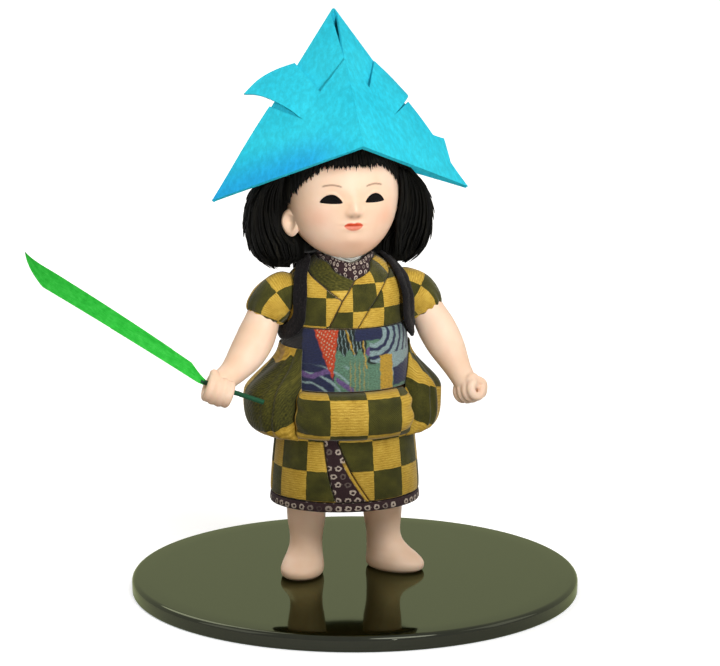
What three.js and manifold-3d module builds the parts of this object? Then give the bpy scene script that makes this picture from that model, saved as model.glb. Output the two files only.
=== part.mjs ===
// A standing child doll made in the kimekomi craft, on a round lacquered stand.
// The torso is moulded from wood paste and has narrow grooves. Each piece of brocade is laid over it
// and its edges are tucked into those grooves. The arms, legs and head are cast and pegged in place.
// The child wears a folded paper helmet and holds an iris leaf as a sword.
//
// Millimetres, +Z up. The figure faces -Y, so its right hand is on -X.
// The origin is the centre of the stand's underside. Heights of the figure count up from its soles,
// and heights of the head count up from the top of the neck.

import * as THREE from 'three';
import { mergeVertices } from 'three/addons/utils/BufferGeometryUtils.js';
import Module from 'manifold-3d';

const wasm = await Module();
wasm.setup();

// Fits and cloth
const GROOVE_FIT = 0.55; // slack of a cloth edge in its groove
const FIT = 0.3; // clearance between neighbouring pieces
const CLOTH = 0.6; // brocade with its paper backing
const CLOTH_GAP = 0.6; // glue and wadding under the cloth
const CLOTH_FACE = CLOTH_GAP + CLOTH; // outer face of the cloth off the torso
const TUCK = 1.6; // depth of a cloth edge in its groove
const SEAM = 0.5; // gap between two cloth edges that share a groove

// Stand
const STAND_DIAMETER = 210;
const STAND_THICKNESS = 7.5;
const STAND_EDGE_RADIUS = 2.4;
const FIGURE_X = -3; // figure axis from the stand's centre
const FIGURE_Y = 9;

// Heights of the dressed figure
const LEG_SHOWN = 34.5; // sole to hem
const SKIRT_LENGTH = 56; // hem to the bottom of the sash
const SASH_WIDTH = 29.5;
const CHEST_LENGTH = 34.5; // top of the sash to the top of the neck
const HEM = LEG_SHOWN;
const SASH_BOTTOM = HEM + SKIRT_LENGTH;
const SASH_TOP = SASH_BOTTOM + SASH_WIDTH;
const NECK_TOP = SASH_TOP + CHEST_LENGTH;

// Half widths and half depths of the bare torso
const SKIRT_HALF_WIDTH = 34.2;
const SKIRT_HALF_DEPTH = 28.6;
const WAIST_HALF_WIDTH = 28.2;
const WAIST_HALF_DEPTH = 22.2;
const CHEST_HALF_WIDTH = 27.4;
const CHEST_HALF_DEPTH = 21.6;
const NECK_RADIUS = 11;

// Cloth details
const HEM_BAND_WIDTH = 4.6;
const HEM_TURN = 3; // width of the hem turned in under the torso
const SASH_PADDING = 1.5; // how far the sash stands off the torso
const BLOUSE_LENGTH = 22; // depth of the fold that hangs below the sash in front and behind
const BLOUSE_BULGE = 8.4;
const BLOUSE_HALF_ANGLE = 50;
const PUFF_LENGTH = 43;
const RIGHT_PUFF_BULGE = 15.6;
const LEFT_PUFF_BULGE = 13.6;
const PUFF_LEAN = 28; // degrees by which the left puff draws back at its top
const PUFF_HANG = 1.5; // how far the side puffs hang below the front fold
const CORD_WIDTH = 6.2;
const CORD_THICKNESS = 1.7;

// Legs
const LEG_SPREAD = 18.3; // leg axis from the figure's axis
const RIGHT_TOE_OUT = 26; // degrees
const LEFT_TOE_OUT = 47;
const LEG_IN_TORSO = 13;
const FOOT_PIN_DIAMETER = 3;
const FOOT_PIN_IN_STAND = 5;
const FOOT_PIN_IN_LEG = 12;
const LEG_DOWEL_DIAMETER = 5;
const LEG_DOWEL_LENGTH = 22;

// Arms
const SHOULDER_OUT = 2.2; // shoulder joint outside the chest
const SHOULDER_DROP = 17; // shoulder below the top of the neck
const ARM_RADIUS = 9;
const WRIST_RADIUS = 6;
const ARM_PEG_DIAMETER = 2.4;
const ARM_PEG_IN_TORSO = 14; // reach of the peg inwards from the shoulder
const ARM_PEG_IN_ARM = 8;
const ARM_PEG_SLANT = 24; // degrees down from level
const FIST_RADIUS = 6.2;
const FIST_LENGTH = 13;
const SLEEVE_RADIUS = 11.1;
const ARMHOLE_IN = 0.8; // inner edge of a sleeve inside the chest's width
const SLEEVE_OPENING_GAP = 0.5; // sleeve rim round the arm
const SHOULDER_X = CHEST_HALF_WIDTH + SHOULDER_OUT;
const SHOULDER_HEIGHT = NECK_TOP - SHOULDER_DROP;

// Head
const HEAD_HALF_WIDTH = 26.4;
const HEAD_HALF_DEPTH = 27.4;
const HEAD_HALF_HEIGHT = 29.5;
const HEAD_CENTRE = 27.8;
const CHEEK_FULLNESS = 0.78; // below 1 the lower half of the head is fuller than a ball
const CHIN_FORWARD = 3;
const HEAD_TURN = 4; // degrees to the figure's left
const HEAD_X = -1.6; // head axis from the figure's axis
const NOSE_LENGTH = 2.6;
const EYE_SPREAD = 10.2; // eye centre from the middle of the face
const EYE_HEIGHT = 26.8;
const EYE_HALF_WIDTH = 4.8;
const EYE_HALF_HEIGHT = 2.4;
const EYE_HALF_DEPTH = 2.6;
const EYE_SINK = 1.9; // centre of the eye behind the skin
const NECK_PEG_DIAMETER = 9;
const NECK_PEG_LENGTH = 46;
const NECK_PEG_IN_HEAD = 20;
const HAIR_HALF_WIDTH = 44;
const HAIR_HALF_DEPTH = 36;
const HAIR_DROP = 8; // hair ends below the top of the neck
const HAIRLINE = 42;

// Folded paper helmet
const HELMET_HALF_WIDTH = 62; // tip to tip is twice this
const HELMET_TURN = 2.4; // degrees to the left of the face
const HELMET_TIP_HEIGHT = 25;
const HELMET_RISE = 86; // apex above the tips
const HELMET_BRIM_RISE = 26.5; // front of the brim above the tips
const HELMET_FRONT = 32; // front of the brim ahead of the tips
const HELMET_BACK = 36;
const HELMET_BACK_RISE = 18.5;
const HELMET_APEX_BACK = 11;
const HELMET_PAPER = 1.1; // the folded layers of each side together
const HELMET_FLAP = 0.8; // each further layer
const HORN_LIFT = 4; // tip of a horn off the helmet's side

// Iris leaf sword
const SWORD_RISE = 20.5; // degrees above level
const SWORD_SWING = 5; // degrees behind the figure's right
const SWORD_REACH = [-33.2, -18, -42.9]; // grip from the right shoulder
const STEM_DIAMETER = 2.3;
const STEM_BEHIND_GRIP = 22;
const STEM_AHEAD_OF_GRIP = 9;
const LEAF_THICKNESS = 0.8;
const LEAF_LENGTH = 98;

const SIDES = [['right', -1], ['left', 1]];
const { degToRad, lerp } = THREE.MathUtils;
const point = (x, y, z) => new THREE.Vector3(x, y, z);

// Solids

// A closed solid from points and triangles, with its faces turned outwards.
function closedSolid(points, faces) {
  let volume = 0;
  const cross = new THREE.Vector3();
  for (const [a, b, c] of faces) volume += points[a].dot(cross.crossVectors(points[b], points[c]));
  const outward = volume > 0 ? faces : faces.map(([a, b, c]) => [a, c, b]);
  return new wasm.Manifold(new wasm.Mesh({
    numProp: 3,
    vertProperties: new Float32Array(points.flatMap((p) => p.toArray())),
    triVerts: new Uint32Array(outward.flat()),
  }));
}

// A three.js geometry as a solid.
function solidOf(geometry) {
  geometry.deleteAttribute('normal');
  geometry.deleteAttribute('uv');
  const merged = mergeVertices(geometry);
  const position = merged.getAttribute('position');
  const index = Array.from(merged.index.array);
  const points = Array.from({ length: position.count }, (_, i) => point().fromBufferAttribute(position, i));
  const faces = [];
  for (let i = 0; i < index.length; i += 3) {
    const face = index.slice(i, i + 3);
    if (new Set(face).size === 3) faces.push(face);
  }
  return closedSolid(points, faces);
}

// Two triangles for every square between two lines of points, given as index lists.
function strip(from, to, closed = true) {
  const faces = [];
  const count = closed ? from.length : from.length - 1;
  for (let k = 0; k < count; k++) {
    const next = (k + 1) % from.length;
    faces.push([from[next], from[k], to[k]], [from[next], to[k], to[next]]);
  }
  return faces;
}

const indices = (count, start) => Array.from({ length: count }, (_, k) => start + k);
const middle = (ring) => ring.reduce((sum, p) => sum.add(p), point(0, 0, 0)).divideScalar(ring.length);

// A solid through a stack of rings, closed by a fan at each end.
function loft(rings) {
  const sides = rings[0].length;
  const points = rings.flat();
  const lines = rings.map((_, r) => indices(sides, r * sides));
  const faces = lines.slice(1).flatMap((line, r) => strip(lines[r], line));
  const first = points.push(middle(rings[0])) - 1;
  const last = points.push(middle(rings.at(-1))) - 1;
  lines[0].forEach((a, k) => faces.push([a, lines[0][(k + 1) % sides], first]));
  lines.at(-1).forEach((a, k, line) => faces.push([line[(k + 1) % sides], a, last]));
  return closedSolid(points, faces);
}

// A solid through rings that run round in a loop.
function loopLoft(rings) {
  const sides = rings[0].length;
  const lines = rings.map((_, r) => indices(sides, r * sides));
  return closedSolid(rings.flat(), lines.flatMap((line, r) => strip(line, lines[(r + 1) % lines.length])));
}

// The four edges of a grid of (columns + 1) by (rows + 1) points, in order, as [column, row].
function gridBorder(columns, rows) {
  const border = [];
  for (let i = 0; i < columns; i++) border.push([i, 0]);
  for (let j = 0; j < rows; j++) border.push([columns, j]);
  for (let i = columns; i > 0; i--) border.push([i, rows]);
  for (let j = rows; j > 0; j--) border.push([0, j]);
  return border;
}

// A solid between two grids of points, with border lines between them where the edge is turned in.
function sheetSolid(columns, rows, outer, inner, rims = []) {
  const width = columns + 1;
  const spots = indices(width * (rows + 1), 0).map((k) => [k % width, Math.floor(k / width)]);
  const border = gridBorder(columns, rows);
  const points = spots.map(([i, j]) => outer(i, j));
  const innerStart = points.length;
  points.push(...spots.map(([i, j]) => inner(i, j)));
  const at = (start, i, j) => start + j * width + i;
  const lines = [border.map(([i, j]) => at(0, i, j))];
  for (const rim of rims) {
    lines.push(indices(border.length, points.length));
    points.push(...border.map(([i, j]) => rim(i, j)));
  }
  lines.push(border.map(([i, j]) => at(innerStart, i, j)));
  const faces = lines.slice(1).flatMap((line, r) => strip(lines[r], line));
  for (let i = 0; i < columns; i++) {
    for (let j = 0; j < rows; j++) {
      const corners = (start) => [[0, 0], [1, 0], [1, 1], [0, 1]].map(([x, y]) => at(start, i + x, j + y));
      const [a, b, c, d] = corners(0);
      faces.push([a, b, c], [a, c, d]);
      const [e, f, g, h] = corners(innerStart);
      faces.push([e, g, f], [e, h, g]);
    }
  }
  return closedSolid(points, faces);
}

// A ring of points round a centre, square to a direction.
function ringAcross(centre, direction, radius, sides) {
  const turn = new THREE.Quaternion().setFromUnitVectors(point(0, 0, -1), direction.clone().normalize());
  return Array.from({ length: sides }, (_, k) => {
    const angle = (2 * Math.PI * k) / sides;
    return point(Math.cos(angle) * radius, Math.sin(angle) * radius, 0).applyQuaternion(turn).add(centre);
  });
}

// A round limb along a smooth path. Each knot of radii is [share of the path, radius].
function limb(path, radii, steps, sides, offset = 0) {
  const curve = new THREE.CatmullRomCurve3(path);
  const rings = [];
  for (let s = 0; s <= steps; s++) {
    const share = s / steps;
    const [radius] = interpolate(radii, share);
    rings.push(ringAcross(curve.getPointAt(share), curve.getTangentAt(share), radius + offset, sides));
  }
  return loft(rings);
}

// A straight round rod between two points.
function rod(from, to, radius, sides = 12) {
  const direction = to.clone().sub(from);
  return loft([from, to].map((end) => ringAcross(end, direction, radius, sides)));
}

// A box between two opposite corners.
function slab(corner, opposite) {
  const size = opposite.clone().sub(corner);
  const centre = corner.clone().add(opposite).divideScalar(2);
  const box = new THREE.BoxGeometry(Math.abs(size.x), Math.abs(size.y), Math.abs(size.z));
  return solidOf(box.translate(centre.x, centre.y, centre.z));
}
const REACH = 200; // past every piece, for cutting slabs

function ellipsoid(centre, halfX, halfY, halfZ, columns = 16, rows = 10) {
  const ball = new THREE.SphereGeometry(1, columns, rows).scale(halfX, halfY, halfZ);
  return solidOf(ball.translate(centre.x, centre.y, centre.z));
}

// Smooth values through knots [x, value, value ...], running on straight past the ends.
function interpolate(knots, x) {
  const last = knots.length - 1;
  const slope = (i, n) => {
    const before = knots[Math.max(i - 1, 0)];
    const after = knots[Math.min(i + 1, last)];
    return (after[n] - before[n]) / (after[0] - before[0]);
  };
  const values = indices(knots[0].length - 1, 1);
  if (x <= knots[0][0]) return values.map((n) => knots[0][n] + slope(0, n) * (x - knots[0][0]));
  if (x >= knots[last][0]) return values.map((n) => knots[last][n] + slope(last, n) * (x - knots[last][0]));
  const i = knots.findIndex((knot) => knot[0] > x) - 1;
  const span = knots[i + 1][0] - knots[i][0];
  const t = (x - knots[i][0]) / span;
  return values.map((n) => (
    knots[i][n] * (1 + 2 * t) * (1 - t) ** 2 + knots[i + 1][n] * t * t * (3 - 2 * t)
    + span * (slope(i, n) * t * (1 - t) ** 2 - slope(i + 1, n) * t * t * (1 - t))
  ));
}

// Torso surface

const CORE_BOTTOM = HEM + CLOTH + FIT;
const TRUNK = [
  [CORE_BOTTOM, SKIRT_HALF_WIDTH, SKIRT_HALF_DEPTH],
  [HEM + 18, SKIRT_HALF_WIDTH - 1.2, SKIRT_HALF_DEPTH - 1],
  [HEM + 36, SKIRT_HALF_WIDTH - 3, SKIRT_HALF_DEPTH - 3],
  [SASH_BOTTOM, WAIST_HALF_WIDTH + 0.8, WAIST_HALF_DEPTH + 0.8],
  [SASH_BOTTOM + SASH_WIDTH / 2, WAIST_HALF_WIDTH, WAIST_HALF_DEPTH],
  [SASH_TOP, CHEST_HALF_WIDTH + 0.2, CHEST_HALF_DEPTH + 0.2],
  [NECK_TOP - 22, CHEST_HALF_WIDTH, CHEST_HALF_DEPTH],
  [NECK_TOP - 16, CHEST_HALF_WIDTH - 1, CHEST_HALF_DEPTH - 1.6],
  [NECK_TOP - 12, CHEST_HALF_WIDTH - 3.4, CHEST_HALF_DEPTH - 3.8],
  [NECK_TOP - 8, CHEST_HALF_WIDTH - 8.2, CHEST_HALF_DEPTH - 6.8],
  [NECK_TOP - 4, NECK_RADIUS + 2, NECK_RADIUS + 1.4],
  [NECK_TOP, NECK_RADIUS, NECK_RADIUS],
];
const TRUNK_SIDES = 20;
const SLOPE_STEP = 0.05; // for measuring the surface's direction

// A point of the bare torso. Degrees count from the front towards the figure's left.
function trunkPoint(degrees, height, offset = 0) {
  const place = (turn, up) => {
    const [halfWidth, halfDepth] = interpolate(TRUNK, up);
    const angle = degToRad(turn);
    return point(halfWidth * Math.sin(angle), -halfDepth * Math.cos(angle), up);
  };
  const across = place(degrees + SLOPE_STEP, height).sub(place(degrees - SLOPE_STEP, height));
  const along = place(degrees, height + SLOPE_STEP).sub(place(degrees, height - SLOPE_STEP));
  return place(degrees, height).addScaledVector(across.cross(along).normalize(), offset);
}

// The torso grown by an offset, as a solid. Pieces that lie on it are cut by this.
function trunk(offset, sides = TRUNK_SIDES) {
  const heights = TRUNK.flatMap(([height], i) => (
    height > SASH_TOP ? [(TRUNK[i - 1][0] + height) / 2, height] : [height]));
  return loft(heights.map((height) => (
    indices(sides, 0).map((k) => trunkPoint((360 * k) / sides, height, offset)))));
}

// Seams and cloth panels

// A line on the torso through a few chosen spots [degrees, height], as evenly spaced spots.
function seam(spots, pieces) {
  const knots = spots.map((spot, i) => [i / (spots.length - 1), ...spot]);
  const fine = indices(65, 0).map((k) => interpolate(knots, k / 64));
  const run = [0];
  fine.slice(1).forEach((spot, i) => {
    run.push(run[i] + trunkPoint(...spot).distanceTo(trunkPoint(...fine[i])));
  });
  return indices(pieces + 1, 0).map((k) => {
    const length = (run.at(-1) * k) / pieces;
    const i = Math.max(1, run.findIndex((reached) => reached >= length - 1e-6));
    const share = (length - run[i - 1]) / (run[i] - run[i - 1]);
    return fine[i].map((value, n) => lerp(fine[i - 1][n], value, share));
  });
}

const joinSeams = (...lines) => lines.reduce((whole, line) => [...whole, ...line.slice(1)]);
const backwards = (line) => [...line].reverse();
const aroundBack = (line) => line.map(([degrees, height]) => [degrees + 360, height]);
const sideSeam = (degrees, low, high, pieces) => seam([[degrees, low], [degrees, high]], pieces);

// The cloth of a panel between two seams with as many spots, its edges turned down into the grooves.
function panelCloth(railA, railB, rows) {
  const columns = railA.length - 1;
  const spotAt = (u, v) => {
    const i = Math.min(columns - 1, Math.floor(u));
    const onRail = (rail) => rail[i].map((value, n) => lerp(value, rail[i + 1][n], u - i));
    const [a, b] = [onRail(railA), onRail(railB)];
    return [lerp(a[0], b[0], v), lerp(a[1], b[1], v)];
  };
  const between = (p, q) => trunkPoint(...p).distanceTo(trunkPoint(...q));
  const sum = (lengths) => lengths.reduce((total, length) => total + length, 0);
  const across = indices(columns + 1, 0).map((i) => (
    sum(indices(8, 0).map((k) => between(spotAt(i, k / 8), spotAt(i, (k + 1) / 8))))));
  const along = indices(rows + 1, 0).map((j) => (
    sum(indices(columns, 0).map((k) => between(spotAt(k, j / rows), spotAt(k + 1, j / rows))))));
  // A point of the panel, drawn in from its border by an inset.
  const at = (i, j, inset, offset) => {
    const u = (inset * columns) / along[j];
    const v = inset / across[i];
    return trunkPoint(...spotAt(u + i * (1 - (2 * u) / columns), v + (j / rows) * (1 - 2 * v)), offset);
  };
  const edge = SEAM / 2;
  return sheetSolid(
    columns, rows,
    (i, j) => at(i, j, edge, CLOTH_FACE),
    (i, j) => at(i, j, edge + CLOTH, CLOTH_GAP),
    [(i, j) => at(i, j, edge, -TUCK), (i, j) => at(i, j, edge + CLOTH, -TUCK)],
  );
}

// The groove along a seam, wide enough for the cloth edge on each side of it.
function groove(line, closed = false) {
  const half = SEAM / 2 + CLOTH + GROOVE_FIT;
  const places = line.map((spot) => trunkPoint(...spot));
  const last = line.length - 1;
  const rings = line.map((spot, i) => {
    const before = places[i === 0 ? (closed ? last : 0) : i - 1];
    const after = places[i === last ? (closed ? 0 : last) : i + 1];
    const along = after.clone().sub(before).normalize();
    const normal = trunkPoint(...spot, 1).sub(places[i]);
    const side = along.clone().cross(normal).normalize();
    const overrun = closed ? 0 : half * ((i === last) - (i === 0));
    const corner = (out, up) => places[i].clone().addScaledVector(along, overrun)
      .addScaledVector(side, out * half).addScaledVector(normal, up);
    return [corner(-1, -TUCK - FIT), corner(1, -TUCK - FIT), corner(1, CLOTH_FACE), corner(-1, CLOTH_FACE)];
  });
  return closed ? loopLoft(rings) : loft(rings);
}

// A band right round the torso, from its cross-section of [height, offset] corners.
function girdle(section, sides = TRUNK_SIDES) {
  return loopLoft(indices(sides, 0).map((k) => (
    section.map(([height, offset]) => trunkPoint((360 * k) / sides, height, offset)))));
}

// Places of the seams, in degrees from the front and heights on the torso
const NAPE = 180;
const SIDE = 90;
const COLLAR_V = [2, NECK_TOP - 12.6]; // lowest point of the neck opening
const COLLAR_CROSS = [-11.5, NECK_TOP - 21.5]; // where the lower collar goes under the upper one
const COLLAR_EDGE = NECK_TOP - 6.5; // outer edge at the nape
const COLLAR_NECK = NECK_TOP - 3.6; // inner edge at the nape
const SHOULDER_SEAM = NECK_TOP - 8.7; // outer edge of the collars over the shoulders
const SIDE_SEAM_TOP = NECK_TOP - 7.4;
const SKIRT_TOP = SASH_BOTTOM - BLOUSE_LENGTH + 8;
const HEM_BAND_TOP = HEM + HEM_BAND_WIDTH;
const SKIRT_LAP_BOTTOM = 10; // degrees, where the overlap and the lining reach the hem
const LINING_BOTTOM = -17;
const SKIRT_LAP_TOP = -22;
const LINING_TOP = -30;

const lapLow = seam([[-25, SASH_TOP], COLLAR_CROSS], 2);
const lapHigh = seam([COLLAR_CROSS, COLLAR_V], 2);
const neckEdge = (side, pieces) => seam([
  COLLAR_V, [COLLAR_V[0] + side * 20, NECK_TOP - 9.4], [side * 40, NECK_TOP - 5.4],
  [side * 75, NECK_TOP - 4.2], [side * 115, COLLAR_NECK], [side * NAPE, COLLAR_NECK],
], pieces);
const overShoulder = (side) => seam([[side * 66, SHOULDER_SEAM], [side * SIDE, SIDE_SEAM_TOP]], 2);
const behindNeck = (side) => seam([
  [side * SIDE, SIDE_SEAM_TOP], [side * 125, COLLAR_EDGE], [side * NAPE, COLLAR_EDGE],
], 5);
const neckLeft = neckEdge(1, 9);
const neckRight = neckEdge(-1, 11);
const shoulderLeft = joinSeams(overShoulder(1), behindNeck(1));
const shoulderRight = joinSeams(overShoulder(-1), behindNeck(-1));
const breastLeft = seam([[3, SASH_TOP], [17, NECK_TOP - 24.5], [37, NECK_TOP - 14.5], shoulderLeft[0]], 6);
const breastRight = seam([COLLAR_CROSS, [-36, NECK_TOP - 13.8], shoulderRight[0]], 4);
const collarLeftInner = joinSeams(lapLow, lapHigh, neckLeft);
const collarLeftOuter = joinSeams(breastLeft, shoulderLeft);
const collarRightOuter = joinSeams(breastRight, shoulderRight);
const neckline = joinSeams(backwards(neckRight), neckLeft);
const neckTopEdge = neckline.map(([degrees, height]) => [degrees, lerp(height, NECK_TOP, 0.62) - 0.4]);
const sideLow = (side, pieces) => sideSeam(side * SIDE, SASH_TOP, SIDE_SEAM_TOP, pieces);
const skirtLap = seam([[SKIRT_LAP_BOTTOM, HEM_BAND_TOP], [-6, HEM + 20], [SKIRT_LAP_TOP, SKIRT_TOP]], 5);
const liningEdge = seam([[LINING_BOTTOM, HEM_BAND_TOP], [-24, HEM + 20], [LINING_TOP, SKIRT_TOP]], 5);
const skirtSide = (side, pieces) => sideSeam(side * SIDE, HEM_BAND_TOP, SKIRT_TOP, pieces);
const backTop = joinSeams(behindNeck(1), aroundBack(backwards(behindNeck(-1))));
const backBottom = seam([[SIDE, SASH_TOP], [360 - SIDE, SASH_TOP]], backTop.length - 1);

// Each cloth panel as its two seams and its rows of facets.
const PANELS = {
  collar_left: [collarLeftInner, collarLeftOuter, 2],
  collar_right: [neckRight, collarRightOuter, 2],
  under_collar: [neckline, neckTopEdge, 2],
  bodice_left: [breastLeft, sideLow(1, 6), 5],
  bodice_right: [joinSeams(lapLow, breastRight), sideLow(-1, 6), 5],
  bodice_back: [backBottom, backTop, 5],
  skirt_left: [skirtLap, skirtSide(1, 5), 8],
  skirt_right: [liningEdge, skirtSide(-1, 5), 5],
  skirt_lining: [skirtLap, liningEdge, 2],
  skirt_back: [skirtSide(1, 3), aroundBack(skirtSide(-1, 3)), 12],
};

// Every seam that has a groove of its own. The sash and the hem have grooves right round.
const GROOVES = [
  collarLeftInner, collarLeftOuter, neckRight, collarRightOuter, sideLow(1, 3), sideLow(-1, 3),
  skirtLap, liningEdge, skirtSide(1, 3), skirtSide(-1, 3), seam([[NAPE, COLLAR_EDGE], [NAPE, NECK_TOP]], 2),
];

// A groove right round the torso.
function ringGroove(height) {
  const half = SEAM / 2 + CLOTH + GROOVE_FIT;
  const [low, high] = [height - half, height + half];
  return girdle([[low, CLOTH_FACE], [high, CLOTH_FACE], [high, -TUCK - FIT], [low, -TUCK - FIT]]);
}

// Sash, with both edges tucked, and the hem band that turns in under the torso

const SASH_FACE = FIT + SASH_PADDING;
const SASH_ROUNDING = SASH_WIDTH / 4;

function sash() {
  const low = SASH_BOTTOM;
  const high = SASH_TOP - SEAM / 2;
  return girdle([
    [low, FIT + CLOTH], [low + SASH_ROUNDING, SASH_FACE],
    [high - SASH_ROUNDING, SASH_FACE], [high, FIT + CLOTH],
    [high, -TUCK], [high - CLOTH, -TUCK], [high - CLOTH, FIT],
    [SASH_BOTTOM + SASH_WIDTH / 2, FIT], [low + CLOTH, FIT], [low + CLOTH, -TUCK], [low, -TUCK],
  ]);
}

function hemBand() {
  const high = HEM_BAND_TOP - SEAM / 2;
  return girdle([
    [HEM, FIT], [HEM + CLOTH, FIT + CLOTH * 1.6], [high, FIT + CLOTH],
    [high, -TUCK], [high - CLOTH, -TUCK], [high - CLOTH, FIT],
    [HEM + CLOTH, FIT], [HEM + CLOTH, -HEM_TURN], [HEM, -HEM_TURN],
  ]);
}

// Padded folds of the tucked-up kimono below the sash

const PAD_EDGE = 0.6; // thickness left at a pad's border
const PAD_GAP = 1; // degrees between two pads
const PAD_CLEARANCE = 0.45; // under a pad

// How far the cloth under a pad stands off the torso.
function clothUnder(height) {
  const share = THREE.MathUtils.clamp((height - SASH_BOTTOM) / SASH_ROUNDING, 0, 1);
  return lerp(CLOTH_FACE, SASH_FACE, share);
}

// A pad over a stretch of the torso. It swells most at a share of its height and may be drawn in
// towards its top. Its front edge may lean back there too, by some degrees.
function pad({ from, to, low, high, bulge, peak, squareness, columns, rows, taper = 0, lean = 0 }) {
  const round = (share, power) => (1 - Math.abs(2 * share - 1) ** power) ** (1 / power);
  const closerAtEdges = (k, count) => lerp(k / count, (1 - Math.cos((Math.PI * k) / count)) / 2, 0.6);
  const skew = Math.log(0.5) / Math.log(peak);
  const shares = (i, j) => [closerAtEdges(i, columns), closerAtEdges(j, rows)];
  const face = (i, j, lift) => {
    const [u, v] = shares(i, j);
    const height = lerp(low, high, v);
    return trunkPoint(lerp(from + lean * v * v, to, u), height, clothUnder(height) + PAD_CLEARANCE + lift);
  };
  const swell = (i, j) => {
    const [u, v] = shares(i, j);
    const drawnIn = 1 - taper * THREE.MathUtils.smoothstep(v, peak, 1);
    return PAD_EDGE + bulge * drawnIn * round(u, squareness) * round(v ** skew, 2.4);
  };
  return sheetSolid(columns, rows, (i, j) => face(i, j, swell(i, j)), (i, j) => face(i, j, 0));
}

const BLOUSE_BOTTOM = SASH_BOTTOM - BLOUSE_LENGTH;
const PUFF_BOTTOM = BLOUSE_BOTTOM - PUFF_HANG;
const puff = (side) => pad({
  from: side * (BLOUSE_HALF_ANGLE + PAD_GAP / 2), to: side * (180 - BLOUSE_HALF_ANGLE - PAD_GAP / 2),
  low: PUFF_BOTTOM, high: PUFF_BOTTOM + PUFF_LENGTH, bulge: side > 0 ? LEFT_PUFF_BULGE : RIGHT_PUFF_BULGE,
  peak: 0.42, squareness: 2.2, columns: 8, rows: 8, taper: 1, lean: side > 0 ? PUFF_LEAN : 0,
});
const blouse = (middleDegrees) => pad({
  from: middleDegrees - BLOUSE_HALF_ANGLE + PAD_GAP / 2,
  to: middleDegrees + BLOUSE_HALF_ANGLE - PAD_GAP / 2,
  low: BLOUSE_BOTTOM, high: SASH_BOTTOM - FIT, bulge: BLOUSE_BULGE,
  peak: 0.6, squareness: 5, columns: 10, rows: 6,
});

// Sash bow behind

const BOW_HALF_WIDTH = 21;
const BOW_HALF_HEIGHT = 10;
const BOW_THICKNESS = 5.5;
const BOW_PINCH = 0.4; // height of the bow under its knot, as a share
const BOW_KNOT_WIDTH = 8;
const BOW_HEIGHT = SASH_TOP - 11;
const BOW_CENTRE = WAIST_HALF_DEPTH + SASH_FACE + BOW_THICKNESS;

// A flat, upright ring of the bow at a place along X.
function bowRing(x, halfHeight, halfDepth, sides = 12) {
  return indices(sides, 0).map((k) => {
    const angle = (2 * Math.PI * k) / sides;
    return point(x, BOW_CENTRE + halfDepth * Math.cos(angle), BOW_HEIGHT + halfHeight * Math.sin(angle));
  });
}

function bowLoop(offset = 0) {
  const half = [
    [0, BOW_PINCH, 0.5], [0.22, BOW_PINCH + 0.08, 0.56], [0.6, 1, 1], [0.92, 0.95, 0.7], [1, 0.7, 0.3],
  ];
  const mirrored = half.slice(1).reverse().map(([x, high, deep]) => [-x, high, deep]);
  return loft([...mirrored, ...half].map(([x, high, deep]) => (
    bowRing(x * BOW_HALF_WIDTH, high * BOW_HALF_HEIGHT + offset, (deep * BOW_THICKNESS) / 2 + offset))));
}

function sashKnot() {
  const shape = [[-1, 0.66, 0.9], [-0.6, 0.74, 1.1], [0.6, 0.74, 1.1], [1, 0.66, 0.9]];
  const knot = loft(shape.map(([x, high, deep]) => (
    bowRing((x * BOW_KNOT_WIDTH) / 2, high * BOW_HALF_HEIGHT, deep * BOW_THICKNESS))));
  return knot.subtract(bowLoop(FIT)).subtract(trunk(SASH_FACE + FIT));
}

// Sleeve cord: one crepe band in a figure of eight, over both shoulders and crossed behind

const CORD_PATH = [
  [180, NECK_TOP - 21, 0], [145, NECK_TOP - 14.5, 0.5],
  [112, NECK_TOP - 8.4, 0.9], [84, NECK_TOP - 7.4, 0.9],
  [60, NECK_TOP - 12.5, 0.6], [54, NECK_TOP - 21, 0.6], [56, NECK_TOP - 31, 0.6], [72, SASH_TOP - 3, 0.7],
  [104, SASH_TOP - 3, 0.7], [140, SASH_TOP + 4, 1.2],
];

// Half the loop is the list above, and the other half is its mirror image, raised where it crosses.
function cordPoints() {
  const mirrored = CORD_PATH.map(([degrees, height, lift], i) => (
    [360 - degrees, height, i === 0 ? CORD_THICKNESS + 2 * FIT : lift]));
  return [...CORD_PATH, ...mirrored];
}

function cordSolid(grow = 0) {
  const spots = cordPoints().map(([degrees, height, lift]) => {
    const base = trunkPoint(degrees, height, CLOTH_FACE + FIT + lift);
    return { base, normal: trunkPoint(degrees, height, 1).sub(trunkPoint(degrees, height, 0)).normalize() };
  });
  const path = new THREE.CatmullRomCurve3(spots.map((spot) => spot.base), true);
  const normals = new THREE.CatmullRomCurve3(spots.map((spot) => spot.normal), true);
  const steps = spots.length * 2;
  return loopLoft(indices(steps, 0).map((k) => {
    const share = k / steps;
    const centre = path.getPoint(share);
    const normal = normals.getPoint(share).normalize();
    const width = path.getTangent(share).cross(normal).normalize();
    const corner = (across, up) => (
      centre.clone().addScaledVector(width, across).addScaledVector(normal, up));
    const half = CORD_WIDTH / 2 + grow;
    const crown = CORD_THICKNESS + grow;
    return [
      corner(-half, -grow), corner(half, -grow), corner(half, crown * 0.6),
      corner(half * 0.5, crown), corner(-half * 0.5, crown), corner(-half, crown * 0.6),
    ];
  }));
}

// Legs

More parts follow.
